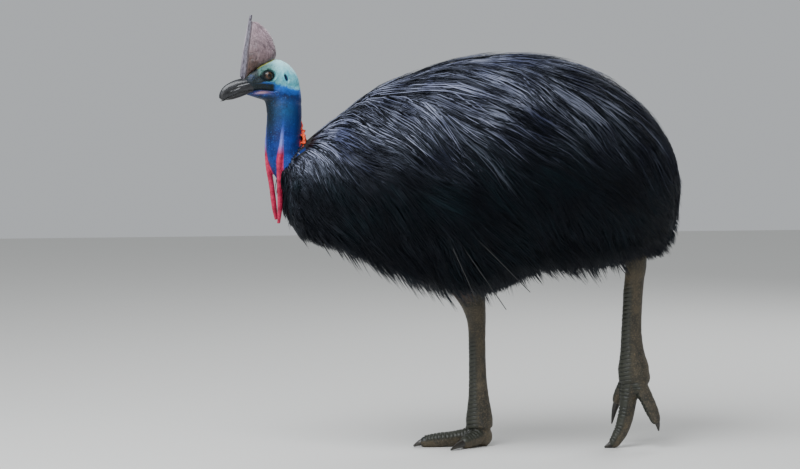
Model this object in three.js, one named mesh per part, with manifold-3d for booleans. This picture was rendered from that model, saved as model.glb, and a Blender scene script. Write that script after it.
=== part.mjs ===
// A southern cassowary, life size, walking with its near leg behind it and its toe tip on the ground.
// Millimetres, +Z up. The bird faces -X, so its left side is towards -Y. The origin is on the ground
// under the middle of its bounding box.
import * as THREE from "three";
import { ParametricGeometry } from "three/addons/geometries/ParametricGeometry.js";
import { mergeVertices } from "three/addons/utils/BufferGeometryUtils.js";
import Module from "manifold-3d";

const wasm = await Module();
wasm.setup();

// Driving dimensions
const GAP = 0.3;
const GROUND = 0;
const HEAD_AT = new THREE.Vector3(-452, 0, 978);
const HEAD_YAW = THREE.MathUtils.degToRad(12);
const NECK_YAW = THREE.MathUtils.degToRad(28);
const HEAD_CUT = -60;
const EYE_RADIUS = 14.5;
const EYE_AT = { forward: 40, out: 20.5, up: 1 };
const EAR_AT = { forward: -8, out: 32.5, up: -5 };
const RUMP_AT = 430;
const SEED = 11;

// The plumage at its tips, from the breast to the rump: x, top of the back, lowest tips, half-width.
const PLUMAGE = [
  [-448, 704, 676, 16],
  [-432, 762, 612, 66],
  [-395, 806, 582, 92],
  [-315, 870, 541, 134],
  [-190, 960, 476, 184],
  [-50, 1014, 418, 218],
  [65, 1037, 394, 233],
  [164, 1044, 436, 237],
  [263, 1035, 466, 231],
  [361, 1006, 468, 213],
  [455, 950, 484, 177],
  [528, 883, 506, 134],
  [575, 812, 545, 92],
  [600, 740, 622, 42],
  [606, 700, 672, 14],
];
const WIDEST_AT = 0.47; // of the way from the lowest tips to the back
const UPPER_POWER = 2;
const LOWER_POWER = 2.9; // the flanks hang like a skirt
// The core under the locks, as shares of the way from the middle of the body to the tips
const CORE = { above: 0.935, beside: 0.9, below: 0.83, breast: 0.965, rear: 0.955 };
// Locks that lie over the body: sunk and tip are shares of the plumage's depth, keel and roundness bend
// the edges down, and hangs is how low down a lock leaves the body
const LOCK = {
  sunk: 0.05,
  taper: [0.5, 1, 0.95, 0.58],
  half: 55,
  thick: 8,
  keel: 8,
  roundness: 300,
  length: 320,
  spacing: 112,
  hangs: 0.72,
  belly: 2.75,
  tries: 6000,
  rump: { x: 505, turns: [0.4, -0.75, 1.15, -1.6, 2.0, -0.4, 0.75, -1.15, 1.6, -2.0] },
};
// Rows of locks along the spine, and of those that hang free along the flanks and the belly
const RIDGE = { from: -405, to: 560, step: 92, turn: 0.16, half: 42, length: 250, tip: 0.988, rise: 1.5 };
const FRINGES = [
  { from: -392, to: 596, step: 57, turn: 2.0, back: 30, up: 80, half: 29, drop: 0 },
  { from: -386, to: 580, step: 118, turn: 2.52, back: 34, up: 50, half: 38, drop: 14 },
];

const materials = {};
function material(name, color, roughness, metalness = 0) {
  materials[name] = new THREE.MeshStandardMaterial({ color, roughness, metalness });
  return materials[name];
}
material("plumage", 0x0c0f12, 0.45);
material("pale_skin", 0x8fc6cf, 0.6);
material("blue_skin", 0x0f4fa0, 0.55);
material("wattle", 0xc2385c, 0.5);
material("caruncle", 0xe0502a, 0.5);
material("casque", 0x8a7468, 0.55);
material("bill", 0x2c2e33, 0.4);
material("eye", 0x2a1c10, 0.1);
material("leg_scales", 0x57503f, 0.7);
material("claw", 0x2e2c28, 0.45);
material("quill", 0x101114, 0.35);

const ACROSS = new THREE.Vector3(0, 1, 0);
const DOWN = new THREE.Vector3(0, 0, -1);

const group = new THREE.Group();
const headGroup = new THREE.Group();
headGroup.position.copy(HEAD_AT);
headGroup.rotation.z = HEAD_YAW;
group.add(headGroup);

// A closed geometry as a solid that can be joined and cut.
function solid(geometry) {
  const bare = new THREE.BufferGeometry();
  bare.setAttribute("position", geometry.getAttribute("position"));
  if (geometry.index) bare.setIndex(geometry.index);
  const merged = mergeVertices(bare, 1e-3);
  const corners = merged.index.array;
  const kept = [];
  for (let i = 0; i < corners.length; i += 3) {
    const [a, b, c] = [corners[i], corners[i + 1], corners[i + 2]];
    if (a !== b && b !== c && c !== a) kept.push(a, b, c);
  }
  const vertProperties = merged.getAttribute("position").array;
  const make = (triVerts) => new wasm.Manifold(new wasm.Mesh({ numProp: 3, vertProperties, triVerts }));
  const made = make(new Uint32Array(kept));
  if (made.volume() > 0) return made;
  for (let i = 0; i < kept.length; i += 3) [kept[i + 1], kept[i + 2]] = [kept[i + 2], kept[i + 1]];
  return make(new Uint32Array(kept));
}

const join = (solids) => solids.reduce((all, one) => all.add(one));

// What is left of a solid once loose scraps and sealed hollows are dropped.
function largest(made) {
  const bodies = made.decompose();
  return bodies.reduce((best, one) => (one.volume() > best.volume() ? one : best));
}

function place(parent, name, made, look) {
  const { vertProperties, triVerts, numProp } = largest(made).getMesh();
  const positions = new Float32Array((vertProperties.length / numProp) * 3);
  for (let i = 0; i < positions.length / 3; i++)
    positions.set(vertProperties.subarray(i * numProp, i * numProp + 3), i * 3);
  const geometry = new THREE.BufferGeometry();
  geometry.setAttribute("position", new THREE.BufferAttribute(positions, 3));
  geometry.setIndex(new THREE.BufferAttribute(triVerts, 1));
  geometry.computeVertexNormals();
  const mesh = new THREE.Mesh(geometry, materials[look]);
  mesh.name = name;
  parent.add(mesh);
}

// Rings of a loft: how far along each lies, how large it is, and how far a scute lifts its front.
function ringsOf({ rings, roundEnd = 0, scutes = null }) {
  const CAP_RINGS = 3;
  const list = [{ along: 0, size: 0, lift: 0 }];
  const marks = new Set();
  for (let k = 0; k <= rings; k++) {
    const along = ((1 - roundEnd) * k) / rings;
    if (!scutes || along < scutes.from || along > scutes.to) marks.add(along);
  }
  const body = [...marks].map((along) => ({ along, size: 1, lift: 0 }));
  if (scutes)
    for (let k = 0; k < scutes.count; k++) {
      const step = (scutes.to - scutes.from) / scutes.count;
      const start = scutes.from + k * step;
      body.push({ along: start + 0.12 * step, size: 1, lift: scutes.rise });
      body.push({ along: start + 0.98 * step, size: 1, lift: 0 });
    }
  body.sort((a, b) => a.along - b.along);
  list.push(...body);
  if (roundEnd)
    for (let k = CAP_RINGS - 1; k > 0; k--) {
      const angle = (k / CAP_RINGS) * (Math.PI / 2);
      list.push({ along: 1 - roundEnd * (1 - Math.cos(angle)), size: Math.sin(angle), lift: 0 });
    }
  list.push({ along: 1, size: 0, lift: 0 });
  return list;
}

// A closed body through stations [x, y, z, half-width, half-depth]. Width runs along side, and depth
// across both side and the path, or level with the ground. grow makes it larger all over, to cut room
// for it in a neighbour.
function loft({ stations, side, sides = 12, grow = 0, power = 2, level = false, ...shape }) {
  const path = new THREE.CatmullRomCurve3(stations.map(([x, y, z]) => new THREE.Vector3(x, y, z)));
  const sizes = new THREE.CatmullRomCurve3(stations.map((s) => new THREE.Vector3(s[3], s[4], 0)));
  const list = ringsOf(shape);
  const wide = side.clone().normalize();
  const point = new THREE.Vector3();
  const tangent = new THREE.Vector3();
  const deep = new THREE.Vector3();
  const surface = (u, v, target) => {
    const { along, size, lift } = list[Math.round(u * (list.length - 1))];
    path.getPoint(along, point);
    path.getTangent(along, tangent);
    if (u < 0.001 || (along === 0 && size === 1)) point.addScaledVector(tangent, -grow);
    if (u > 0.999 || (along === 1 && size === 1)) point.addScaledVector(tangent, grow);
    const half = sizes.getPoint(along);
    const turn = 2 * Math.PI * Math.round(v * sides) / sides;
    const bend = (value) => Math.sign(value) * Math.abs(value) ** (2 / power);
    const [c, s] = [bend(Math.cos(turn)), bend(Math.sin(turn))];
    deep.crossVectors(level ? DOWN : tangent, wide).normalize();
    const raised = lift * Math.max(0, -s);
    target.copy(point);
    target.addScaledVector(wide, c * size * (half.x + grow));
    target.addScaledVector(deep, s * size * (half.y + grow + raised));
  };
  return solid(new ParametricGeometry(surface, list.length - 1, sides));
}

// Seeded random numbers from 0 to 1.
function seeded(seed) {
  let state = seed;
  return () => {
    state = (state + 0x6d2b79f5) | 0;
    let t = Math.imul(state ^ (state >>> 15), 1 | state);
    t = (t + Math.imul(t ^ (t >>> 7), 61 | t)) ^ t;
    return ((t ^ (t >>> 14)) >>> 0) / 4294967296;
  };
}

function ball(radius, at, scale = [1, 1, 1], sides = 12, bands = 8) {
  const geometry = new THREE.SphereGeometry(radius, sides, bands);
  geometry.scale(...scale);
  geometry.translate(...at);
  return solid(geometry);
}

const turned = (yaw) => ({
  forward: new THREE.Vector3(-Math.cos(yaw), -Math.sin(yaw), 0),
  left: new THREE.Vector3(Math.sin(yaw), -Math.cos(yaw), 0),
});

// Head, in a frame whose forward is -X. Along the skull and bill: forward, up, half-width, half-height.
// Up the throat and the casque: forward, up, half-width, half-length.
const inHead = ([forward, up, wide, long]) => [-forward, 0, up, wide, long];

const CRANIUM = [
  [-47, -27, 15, 13],
  [-37, -23, 25, 21],
  [-25, -15, 30.5, 29],
  [-10, -7, 33, 38],
  [6, -3, 34, 45.5],
  [28, -5, 33.5, 46],
  [50, -12, 30, 41],
  [68, -15, 26, 33],
  [84, -22, 22.5, 26],
  [95, -26, 20, 22],
];
const THROAT = [
  [-6, -16, 29, 31],
  [-2, -42, 32.5, 51],
  [-7, -62, 34.5, 48.5],
  [-10, -78, 35.5, 46.5],
  [-10.5, -94, 36, 46],
];
const BILL = [
  [78, -25, 21.5, 22],
  [95, -27, 19.5, 22],
  [116, -33, 15, 23],
  [138, -42, 11, 20.5],
  [151, -51, 8, 14.5],
  [158, -60, 5, 7],
];
const MOUTH_LINE = [
  [20, -38],
  [58, -34.5],
  [86, -36.5],
  [114, -43],
  [140, -54],
  [170, -69],
];
const CASQUE = [
  [97, -10, 8, 8],
  [93, 3, 13, 12.5],
  [82, 19, 19, 23],
  [63, 36, 24, 41],
  [55, 50, 24, 46],
  [54.5, 74, 20, 42],
  [57.5, 105, 13.5, 33.5],
  [64, 125, 9.5, 23],
  [72, 139, 6, 12],
];
const CASQUE_KEEL = [
  [101, -2, 7, 7],
  [99, 25, 6.5, 6.5],
  [95, 60, 5.5, 6],
  [87, 104, 4.5, 5.5],
  [81, 138, 3.8, 4.5],
  [77, 156, 3, 3.5],
];

function cranium(grow = 0) {
  const common = { side: ACROSS, sides: 12, grow };
  const skull = loft({ ...common, stations: CRANIUM.map(inHead), rings: 8 });
  const throat = loft({ ...common, stations: THROAT.map(inHead), rings: 4, level: true });
  return skull.add(throat);
}

function casque(grow = 0) {
  const common = { side: ACROSS, level: true, grow };
  const helmet = { stations: CASQUE.map(inHead), sides: 12, rings: 8, power: 1.8, roundEnd: 0.03 };
  const blade = loft({ ...common, ...helmet });
  const keel = loft({ ...common, stations: CASQUE_KEEL.map(inHead), sides: 6, rings: 6 });
  return blade.add(keel);
}

function bill(grow = 0) {
  return loft({ stations: BILL.map(inHead), side: ACROSS, sides: 12, rings: 7, power: 2.2, grow });
}

// A thin slab along the line of the mouth, from its corner at fromForward to past the bill's tip.
function mouthSlab(fromForward, thickness) {
  const HALF_WIDTH = 60;
  const line = new THREE.SplineCurve(MOUTH_LINE.map(([forward, up]) => new THREE.Vector2(-forward, up)));
  const points = line.getPoints(9).filter((p) => p.x <= -fromForward);
  const shape = new THREE.Shape([
    ...points.map((p) => new THREE.Vector2(p.x, p.y + thickness / 2)),
    ...points.reverse().map((p) => new THREE.Vector2(p.x, p.y - thickness / 2)),
  ]);
  const geometry = new THREE.ExtrudeGeometry(shape, { depth: 2 * HALF_WIDTH, bevelEnabled: false });
  geometry.translate(0, 0, -HALF_WIDTH);
  geometry.rotateX(Math.PI / 2);
  return solid(geometry);
}

function ring(radius, tube, at, sign, stretch = [1, 1]) {
  const geometry = new THREE.TorusGeometry(radius, tube, 4, 8);
  geometry.scale(stretch[0], stretch[1], 1);
  geometry.rotateX(Math.PI / 2);
  geometry.rotateZ(sign * 0.12);
  geometry.translate(-at.forward, sign * at.out, at.up);
  return solid(geometry);
}

function addHead() {
  const eye = (sign, grow) =>
    ball(EYE_RADIUS + grow, [-EYE_AT.forward, sign * EYE_AT.out, EYE_AT.up], [1, 1, 1], 10, 7);
  let head = cranium();
  for (const sign of [-1, 1]) {
    const LID_OUT = 10.5;
    const lid = ring(EYE_RADIUS - 2.5, 3.2, { ...EYE_AT, out: EYE_AT.out + LID_OUT }, sign, [1.15, 0.9]);
    const brow = ball(1, [-EYE_AT.forward - 10, sign * 26.5, 17], [26, 6, 4.5], 6, 5);
    const earRim = ring(7, 2.6, { ...EAR_AT, out: EAR_AT.out - 1.5 }, sign, [0.7, 1.3]);
    head = head.add(lid).add(brow).add(earRim);
  }
  for (const sign of [-1, 1]) {
    const earCup = ball(1, [-EAR_AT.forward, sign * EAR_AT.out, EAR_AT.up], [4, 8, 8.5], 7, 5);
    head = head.subtract(eye(sign, GAP)).subtract(earCup);
  }
  head = head.subtract(casque(GAP)).subtract(bill(GAP));
  const CORNER = 26;
  const LIP_DEPTH = 5;
  head = head.subtract(mouthSlab(CORNER, 2.4).subtract(cranium(-LIP_DEPTH)));
  place(headGroup, "head", head.trimByPlane([0, 0, 1], HEAD_CUT), "pale_skin");

  const cut = bill().subtract(mouthSlab(0, GAP)).decompose();
  cut.sort((a, b) => b.boundingBox().max[2] - a.boundingBox().max[2]);
  let upper = cut[0];
  for (const sign of [-1, 1]) {
    const nostril = new THREE.SphereGeometry(1, 6, 5);
    nostril.scale(9, 3.4, 2.6);
    nostril.rotateY(-0.42);
    nostril.translate(-124, sign * 14, -30);
    upper = upper.subtract(solid(nostril));
  }
  place(headGroup, "upper_bill", upper, "bill");
  place(headGroup, "lower_bill", cut[1], "bill");
  const horn = casque().subtract(bill(GAP)).subtract(eye(-1, GAP)).subtract(eye(1, GAP));
  place(headGroup, "casque", horn, "casque");
  place(headGroup, "eye_left", eye(-1, 0), "eye");
  place(headGroup, "eye_right", eye(1, 0), "eye");
}

// Neck: x, y, z, half-width, half-depth down its middle
const NECK = [
  [-441, -2, 930, 36, 46],
  [-441, -2, 900, 36, 45.5],
  [-441.5, -1, 860, 36, 45],
  [-443, -1, 815, 37, 46],
  [-438, 0, 775, 40, 49],
  [-413, 0, 735, 46, 54],
  [-370, 0, 700, 54, 60],
  [-325, 0, 676, 56, 58],
];
// Wattles: x, y, z, half-width, half-thickness from the ridge on the neck to the tip
const WATTLES = {
  left: [
    [-451, -28, 824, 5, 4],
    [-453, -38, 802, 7.5, 5],
    [-458, -38, 753, 8.5, 5.5],
    [-457, -31, 696, 8, 4.8],
    [-455, -22, 644, 8, 4.8],
    [-458, -13, 598, 4.5, 3],
  ],
  right: [
    [-476, 8, 822, 5, 4],
    [-487, 10, 799, 7.5, 5],
    [-482, 8, 747, 8.5, 5.5],
    [-474, 5, 696, 8, 4.8],
    [-468, 2, 644, 8, 4.8],
    [-463, -1, 607, 4.5, 3],
  ],
};
const CARUNCLE = { top: 872, bottom: 778, rows: 6 };

function neck(grow = 0) {
  return loft({ stations: NECK, side: turned(HEAD_YAW).left, sides: 12, rings: 8, grow });
}

function wattle(name, grow = 0) {
  return loft({
    stations: WATTLES[name],
    side: turned(NECK_YAW).forward,
    sides: 6,
    rings: 7,
    roundEnd: 0.03,
    grow,
  });
}

// Loose folded skin on the hind neck: rows of bulbs that swell downwards, on a strip that joins them.
function caruncles(grow = 0) {
  const { forward, left } = turned(HEAD_YAW);
  const at = (share, turn, out) => {
    const z = THREE.MathUtils.lerp(CARUNCLE.top, CARUNCLE.bottom, share);
    const p = new THREE.Vector3(-443 + 12 * share ** 2, 0, z);
    p.addScaledVector(forward, -(45 + out) * Math.cos(turn));
    return p.addScaledVector(left, (36 + out) * Math.sin(turn));
  };
  const strip = loft({
    stations: [0, 0.35, 0.7, 1].map((share) => {
      return [...at(share, 0, 0).toArray(), 4 + 12 * share, 2.5 + 2 * share];
    }),
    side: left,
    sides: 6,
    rings: 3,
    grow,
  });
  const bulbs = [strip];
  for (let row = 1; row < CARUNCLE.rows; row++) {
    const share = row / (CARUNCLE.rows - 1);
    const columns = row < 3 ? [0] : [-1, 1];
    for (const column of columns) {
      const shift = column * 0.25 + 0.06 * (row % 2 ? 1 : -1);
      const p = at(share, shift, 2.5);
      bulbs.push(ball(4.5 + 4.5 * share + grow, p.toArray(), [1, 1, 1.15], 5, 4));
    }
  }
  return join(bulbs);
}

function addNeck() {
  const top = HEAD_AT.z + HEAD_CUT - GAP;
  let made = neck().trimByPlane([0, 0, -1], -top);
  made = made.subtract(caruncles(GAP));
  for (const name of ["left", "right"]) made = made.subtract(wattle(name, GAP));
  place(group, "neck", made, "blue_skin");
  for (const name of ["left", "right"]) place(group, `wattle_${name}`, wattle(name), "wattle");
  place(group, "nape_caruncles", caruncles(), "caruncle");
}

// Legs: x, y, z, half-width, half-depth from inside the body to the toe joint
const RIGHT_LEG = [
  [-60, 62, 640, 56, 74],
  [-18, 58, 545, 48, 66],
  [26, 50, 458, 37, 50],
  [58, 44, 395, 27, 37],
  [70, 40, 345, 22, 27],
  [73, 38, 290, 20, 22.5],
  [75, 38, 200, 19, 22.5],
  [78, 38, 130, 22, 27],
  [80, 38, 75, 28, 35],
  [80, 38, 50, 29, 35],
];
const LEFT_LEG = [
  [335, -70, 760, 56, 74],
  [385, -64, 680, 48, 64],
  [436, -56, 600, 38, 48],
  [470, -50, 535, 28, 35],
  [480, -48, 485, 23, 29],
  [475, -48, 430, 21, 26],
  [470, -48, 320, 21, 26],
  [472, -48, 255, 26, 31],
  [476, -48, 210, 31, 41],
  [476, -48, 175, 30, 38],
];
const LEGS = {
  right: {
    stations: RIGHT_LEG,
    hock: 372,
    ankle: 62,
    scutes: { from: 0.52, to: 0.98, count: 10, rise: 2.4 },
  },
  left: {
    stations: LEFT_LEG,
    hock: 500,
    ankle: 192,
    scutes: { from: 0.5, to: 0.97, count: 10, rise: 2.4 },
  },
};

function leg({ stations, scutes }, grow = 0) {
  return loft({ stations, side: ACROSS, sides: 9, rings: 12, scutes, grow });
}

// Toes: x, y, z, half-width, half-depth from the joint to the root of the claw, and the claw's stations
const RIGHT_TOES = {
  middle: {
    toe: [
      [84, 38, 34, 26, 27],
      [48, 38, 24, 21, 24],
      [10, 38, 19, 19, 21],
      [-34, 38, 17, 18, 19],
      [-66, 38, 14, 15, 16],
    ],
    claw: [
      [-60, 38, 15, 10, 10.5],
      [-78, 38, 12, 8, 8.5],
      [-97, 38, 3.5, 2.2, 2.6],
    ],
  },
  inner: {
    toe: [
      [82, 32, 30, 22, 24],
      [58, 12, 20, 18, 20],
      [34, -5, 15, 14.5, 16],
    ],
    claw: [
      [40, -1, 16, 10, 11.5],
      [14, -22, 12, 7.5, 8.5],
      [-12, -44, 3.5, 1.6, 2.2],
    ],
  },
  outer: {
    toe: [
      [82, 44, 30, 22, 24],
      [52, 66, 19, 18, 20],
      [20, 88, 16, 16, 17],
      [-2, 104, 13, 13, 14],
    ],
    claw: [
      [3, 100, 14, 8.5, 9],
      [-12, 111, 10, 6, 6.5],
      [-27, 122, 3.2, 1.8, 2.2],
    ],
  },
};
const LEFT_TOES = {
  middle: {
    toe: [
      [474, -48, 182, 26, 28],
      [464, -49, 138, 21, 23],
      [457, -50, 92, 19, 21],
      [444, -51, 46, 17, 19],
      [424, -52, 13, 13, 15],
    ],
    claw: [
      [430, -52, 20, 9.5, 10],
      [415, -52, 9, 7.5, 9.5],
      [397, -53, 2.2, 2, 2.6],
    ],
  },
  inner: {
    toe: [
      [468, -40, 180, 22, 24],
      [452, -22, 146, 17, 19],
      [443, -10, 122, 13.5, 15],
    ],
    claw: [
      [445, -12, 128, 9.5, 11],
      [437, -2, 98, 7.5, 8.5],
      [430, 5, 56, 1.6, 2],
    ],
  },
  outer: {
    toe: [
      [480, -56, 180, 22, 24],
      [502, -72, 138, 17, 19],
      [518, -83, 100, 15.5, 17],
      [526, -88, 78, 12.5, 13.5],
    ],
    claw: [
      [524, -86, 84, 8.5, 9],
      [530, -90, 68, 6.5, 7],
      [533, -93, 48, 1.6, 2],
    ],
  },
};

// Across a toe, level with the ground.
function acrossToe(stations) {
  const [first, last] = [stations[0], stations[stations.length - 1]];
  const run = new THREE.Vector3(last[0] - first[0], last[1] - first[1], 0);
  return new THREE.Vector3(run.y, -run.x, 0).normalize();
}

function toe(stations) {
  const scutes = { from: 0.3, to: 0.9, count: stations.length - 1, rise: 2 };
  return loft({ stations, side: acrossToe(stations), sides: 7, rings: 3, roundEnd: 0.06, scutes });
}

function claw(stations, side, grow = 0) {
  return loft({ stations, side, sides: 6, rings: 4, grow });
}

function addFoot(sideName, toes, pad) {
  const { ankle } = LEGS[sideName];
  let foot = ball(1, pad.at, pad.half, 10, 7);
  for (const digit of Object.values(toes)) foot = foot.add(toe(digit.toe));
  const SHORT_STUB = LEGS[sideName].stations.slice(-3);
  foot = foot.add(loft({ stations: SHORT_STUB, side: ACROSS, sides: 8, rings: 2 }));
  foot = foot.trimByPlane([0, 0, -1], -(ankle - GAP));
  for (const [name, digit] of Object.entries(toes)) {
    const side = acrossToe(digit.toe);
    foot = foot.subtract(claw(digit.claw, side, GAP));
    const nail = claw(digit.claw, side).trimByPlane([0, 0, 1], GROUND);
    place(group, `claw_${sideName}_${name}`, nail, "claw");
  }
  place(group, `foot_${sideName}`, foot.trimByPlane([0, 0, 1], GROUND), "leg_scales");
}

function addLegs() {
  for (const [name, made] of Object.entries(LEGS)) {
    const whole = leg(made);
    const shank = whole.trimByPlane([0, 0, 1], made.hock);
    const tarsus = whole
      .trimByPlane([0, 0, -1], -(made.hock - GAP))
      .trimByPlane([0, 0, 1], made.ankle);
    place(group, `shank_${name}`, shank, "leg_scales");
    place(group, `tarsus_${name}`, tarsus, "leg_scales");
  }
  addFoot("right", RIGHT_TOES, { at: [84, 38, 26], half: [31, 29, 30] });
  addFoot("left", LEFT_TOES, { at: [488, -50, 186], half: [32, 29, 32] });
}

// Wings: a small stub under the plumage on each flank, with bare quills that run back and down, and whose
// tips show below the feathers.
const WING = {
  x: -110,
  z: 705,
  depth: CORE.beside - 0.06,
  quills: [
    { steep: 0.77, reach: 358 },
    { steep: 0.98, reach: 378 },
    { steep: 1.12, reach: 320 },
  ],
  clear: 8,
  half: 2.6,
};
function wing(sign, grow = 0) {
  const root = setDepth(new THREE.Vector3(WING.x, sign * 200, WING.z), WING.depth);
  const pieces = [ball(13 + grow, root.toArray(), [1.7, 0.9, 1.2], 7, 5)];
  const STEPS = 4;
  for (const { steep, reach } of WING.quills) {
    const points = [root];
    for (let n = 1; n < STEPS; n++) {
      const away = (reach * n) / STEPS;
      const at = root.clone().add(new THREE.Vector3(Math.cos(steep) * away, 0, -Math.sin(steep) * away));
      setDepth(at, 1).addScaledVector(outwards(at).normalize(), WING.clear);
      points.push(at);
    }
    points.push(points.at(-1).clone().multiplyScalar(2).sub(points.at(-2)));
    const stations = points.map((at, n) => {
      const half = WING.half * (1 - 0.6 * (n / STEPS) ** 2);
      return [...at.toArray(), half, half];
    });
    pieces.push(loft({ stations, side: ACROSS, sides: 4, rings: 5, grow }));
  }
  return join(pieces);
}

// Plumage
const outline = new THREE.CubicInterpolant(
  new Float32Array(PLUMAGE.map((row) => row[0])),
  new Float32Array(PLUMAGE.flatMap((row) => row.slice(1))),
  3,
);
const [BREAST_X, RUMP_X] = [PLUMAGE[0][0], PLUMAGE.at(-1)[0]];
function sectionAt(x) {
  const [back, low, wide] = outline.evaluate(THREE.MathUtils.clamp(x, BREAST_X, RUMP_X));
  const middle = low + WIDEST_AT * (back - low);
  return { middle, up: back - middle, down: middle - low, wide, low };
}

// How deep the core lies, as a share of the plumage: feathers are short on the breast and long below.
function coreShare(x, rise) {
  const short = THREE.MathUtils.smoothstep(-x, 250, 440);
  const share = rise > 0 ? CORE.above : THREE.MathUtils.lerp(CORE.beside, CORE.below, Math.min(1, -rise));
  return THREE.MathUtils.lerp(share, CORE.breast, short);
}

function corePoint(x, turn, target = new THREE.Vector3()) {
  const { middle, up, down, wide } = sectionAt(x);
  const [c, s] = [Math.cos(turn), Math.sin(turn)];
  const power = c > 0 ? UPPER_POWER : LOWER_POWER;
  const bend = (value) => Math.sign(value) * Math.abs(value) ** (2 / power);
  const share = coreShare(x, bend(c));
  const high = bend(c) * (c > 0 ? up : down) * share;
  const at = x > 0 ? x * CORE.rear : x;
  return target.set(at, bend(s) * wide * share, middle + high);
}

function coreShell(slices, stacks) {
  const surface = (u, v, target) => {
    const x = (BREAST_X + RUMP_X) / 2 - ((RUMP_X - BREAST_X) / 2) * Math.cos(Math.PI * u);
    corePoint(x, (2 * Math.PI * Math.round(v * stacks)) / stacks, target);
    if (u < 0.001 || u > 0.999) target.set(target.x, 0, sectionAt(x).middle);
  };
  return solid(new ParametricGeometry(surface, slices, stacks));
}

// Where a point lies between the middle of the body, 0, and the tips of the plumage, 1.
function depthAt(point) {
  const { middle, up, down, wide } = sectionAt(point.x);
  const beyond = Math.max(0, point.x - RUMP_X, BREAST_X - point.x);
  const rise = point.z - middle;
  const power = rise > 0 ? UPPER_POWER : LOWER_POWER;
  const across = Math.abs(point.y / wide) ** power;
  const along = Math.abs(rise / (rise > 0 ? up : down)) ** power;
  return (across + along) ** (1 / power) + beyond / 15;
}

function outwards(point) {
  const STEP = 2;
  const slope = new THREE.Vector3();
  for (const axis of ["x", "y", "z"]) {
    const [more, less] = [point.clone(), point.clone()];
    more[axis] += STEP;
    less[axis] -= STEP;
    slope[axis] = (depthAt(more) - depthAt(less)) / (2 * STEP);
  }
  return slope;
}

function setDepth(point, share) {
  for (let k = 0; k < 8; k++) {
    const slope = outwards(point);
    const move = THREE.MathUtils.clamp((share - depthAt(point)) / slope.length(), -12, 12);
    point.addScaledVector(slope.normalize(), move);
  }
  return point;
}

// The middle line of a lock. Feathers lie back along the spine and down the flanks, breast and rump.
function lockLine(root, { length, tip, share, rise = 2.4 }) {
  const line = [];
  const sunk = share - LOCK.sunk;
  const point = setDepth(root.clone(), sunk);
  const steps = LOCK.taper.length;
  for (let k = 0; k <= steps; k++) {
    const out = outwards(point).normalize();
    line.push({ at: point.clone(), out });
    const { middle, low } = sectionAt(point.x);
    const below = THREE.MathUtils.clamp((middle - point.z) / (middle - low), 0, 1);
    const way = new THREE.Vector3(1, 0, -0.85 - 0.7 * below);
    const hangs = below > LOCK.hangs;
    if (!hangs) way.addScaledVector(out, -way.dot(out));
    point.addScaledVector(way.normalize(), length / steps);
    const t = (k + 1) / steps;
    if (!hangs) setDepth(point, THREE.MathUtils.lerp(sunk, tip, 1 - (1 - t) ** rise));
  }
  return line;
}

// A flat, tapered lock with three sides: two edges bent down to the body, and a crest between them.
function lock(line, wide) {
  const last = line.length - 1;
  const surface = (u, v, target) => {
    const k = Math.round(u * (last + 1)) - 1;
    const { at, out } = line[Math.max(k, 0)];
    target.copy(at);
    if (k < 0 || k === last) return;
    const [before, after] = [line[Math.max(k - 1, 0)].at, line[k + 1].at];
    const way = after.clone().sub(before).normalize();
    const side = new THREE.Vector3().crossVectors(way, out).normalize();
    const up = new THREE.Vector3().crossVectors(side, way);
    const half = wide * LOCK.taper[k];
    const corner = Math.round(v * 3) % 3;
    if (corner === 0) target.addScaledVector(up, LOCK.thick * (1 - (0.6 * k) / last));
    else {
      target.addScaledVector(side, corner === 1 ? half : -half);
      target.addScaledVector(up, -(half ** 2) / LOCK.roundness - LOCK.keel * (1 - k / last));
    }
  };
  return solid(new ParametricGeometry(surface, last + 1, 3));
}

// Roots spread evenly and at random over the core.
function lockRoots(random) {
  const roots = [];
  for (let tries = 0; tries < LOCK.tries; tries++) {
    const onRump = tries < LOCK.rump.turns.length;
    const x = onRump ? LOCK.rump.x : THREE.MathUtils.lerp(BREAST_X + 4, RUMP_X - 12, random());
    const turn = onRump ? LOCK.rump.turns[tries] : Math.PI * (2 * random() - 1);
    const at = corePoint(x, turn);
    const { middle, up } = sectionAt(x);
    const spacing = LOCK.spacing * THREE.MathUtils.lerp(1, 0.72, THREE.MathUtils.smoothstep(-x, 250, 420));
    if (Math.abs(turn) > LOCK.belly) continue;
    if (roots.some((other) => other.at.distanceTo(at) < spacing)) continue;
    roots.push({ at, x, turn, share: coreShare(x, (at.z - middle) / up) });
  }
  return roots;
}

// The middle line of a lock that hangs free below the body.
function hangingLine(root, end, up) {
  const out = outwards(root).normalize();
  const points = [
    root.clone().addScaledVector(out, -14).add(new THREE.Vector3(-20, 0, up)),
    root.clone().addScaledVector(out, 8),
    root.clone().lerp(end, 0.6).addScaledVector(out, 6),
    end,
  ];
  const level = new THREE.Vector3(0, out.y, 0).normalize();
  return new THREE.CatmullRomCurve3(points).getPoints(LOCK.taper.length).map((at) => ({ at, out: level }));
}

// Shortens a lock until its tip stays clear above the lower edge of the plumage.
function fittedLine(root, shape, clearance) {
  let { length } = shape;
  let line = lockLine(root, shape);
  for (let pass = 0; pass < 3; pass++) {
    const end = line.at(-1).at;
    const drop = root.z - end.z;
    const room = root.z - sectionAt(end.x).low - clearance;
    if (drop <= room || drop < 1) break;
    length *= Math.max(0.3, room / drop);
    line = lockLine(root, { ...shape, length });
  }
  return length > 0.55 * shape.length ? line : null;
}

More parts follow.
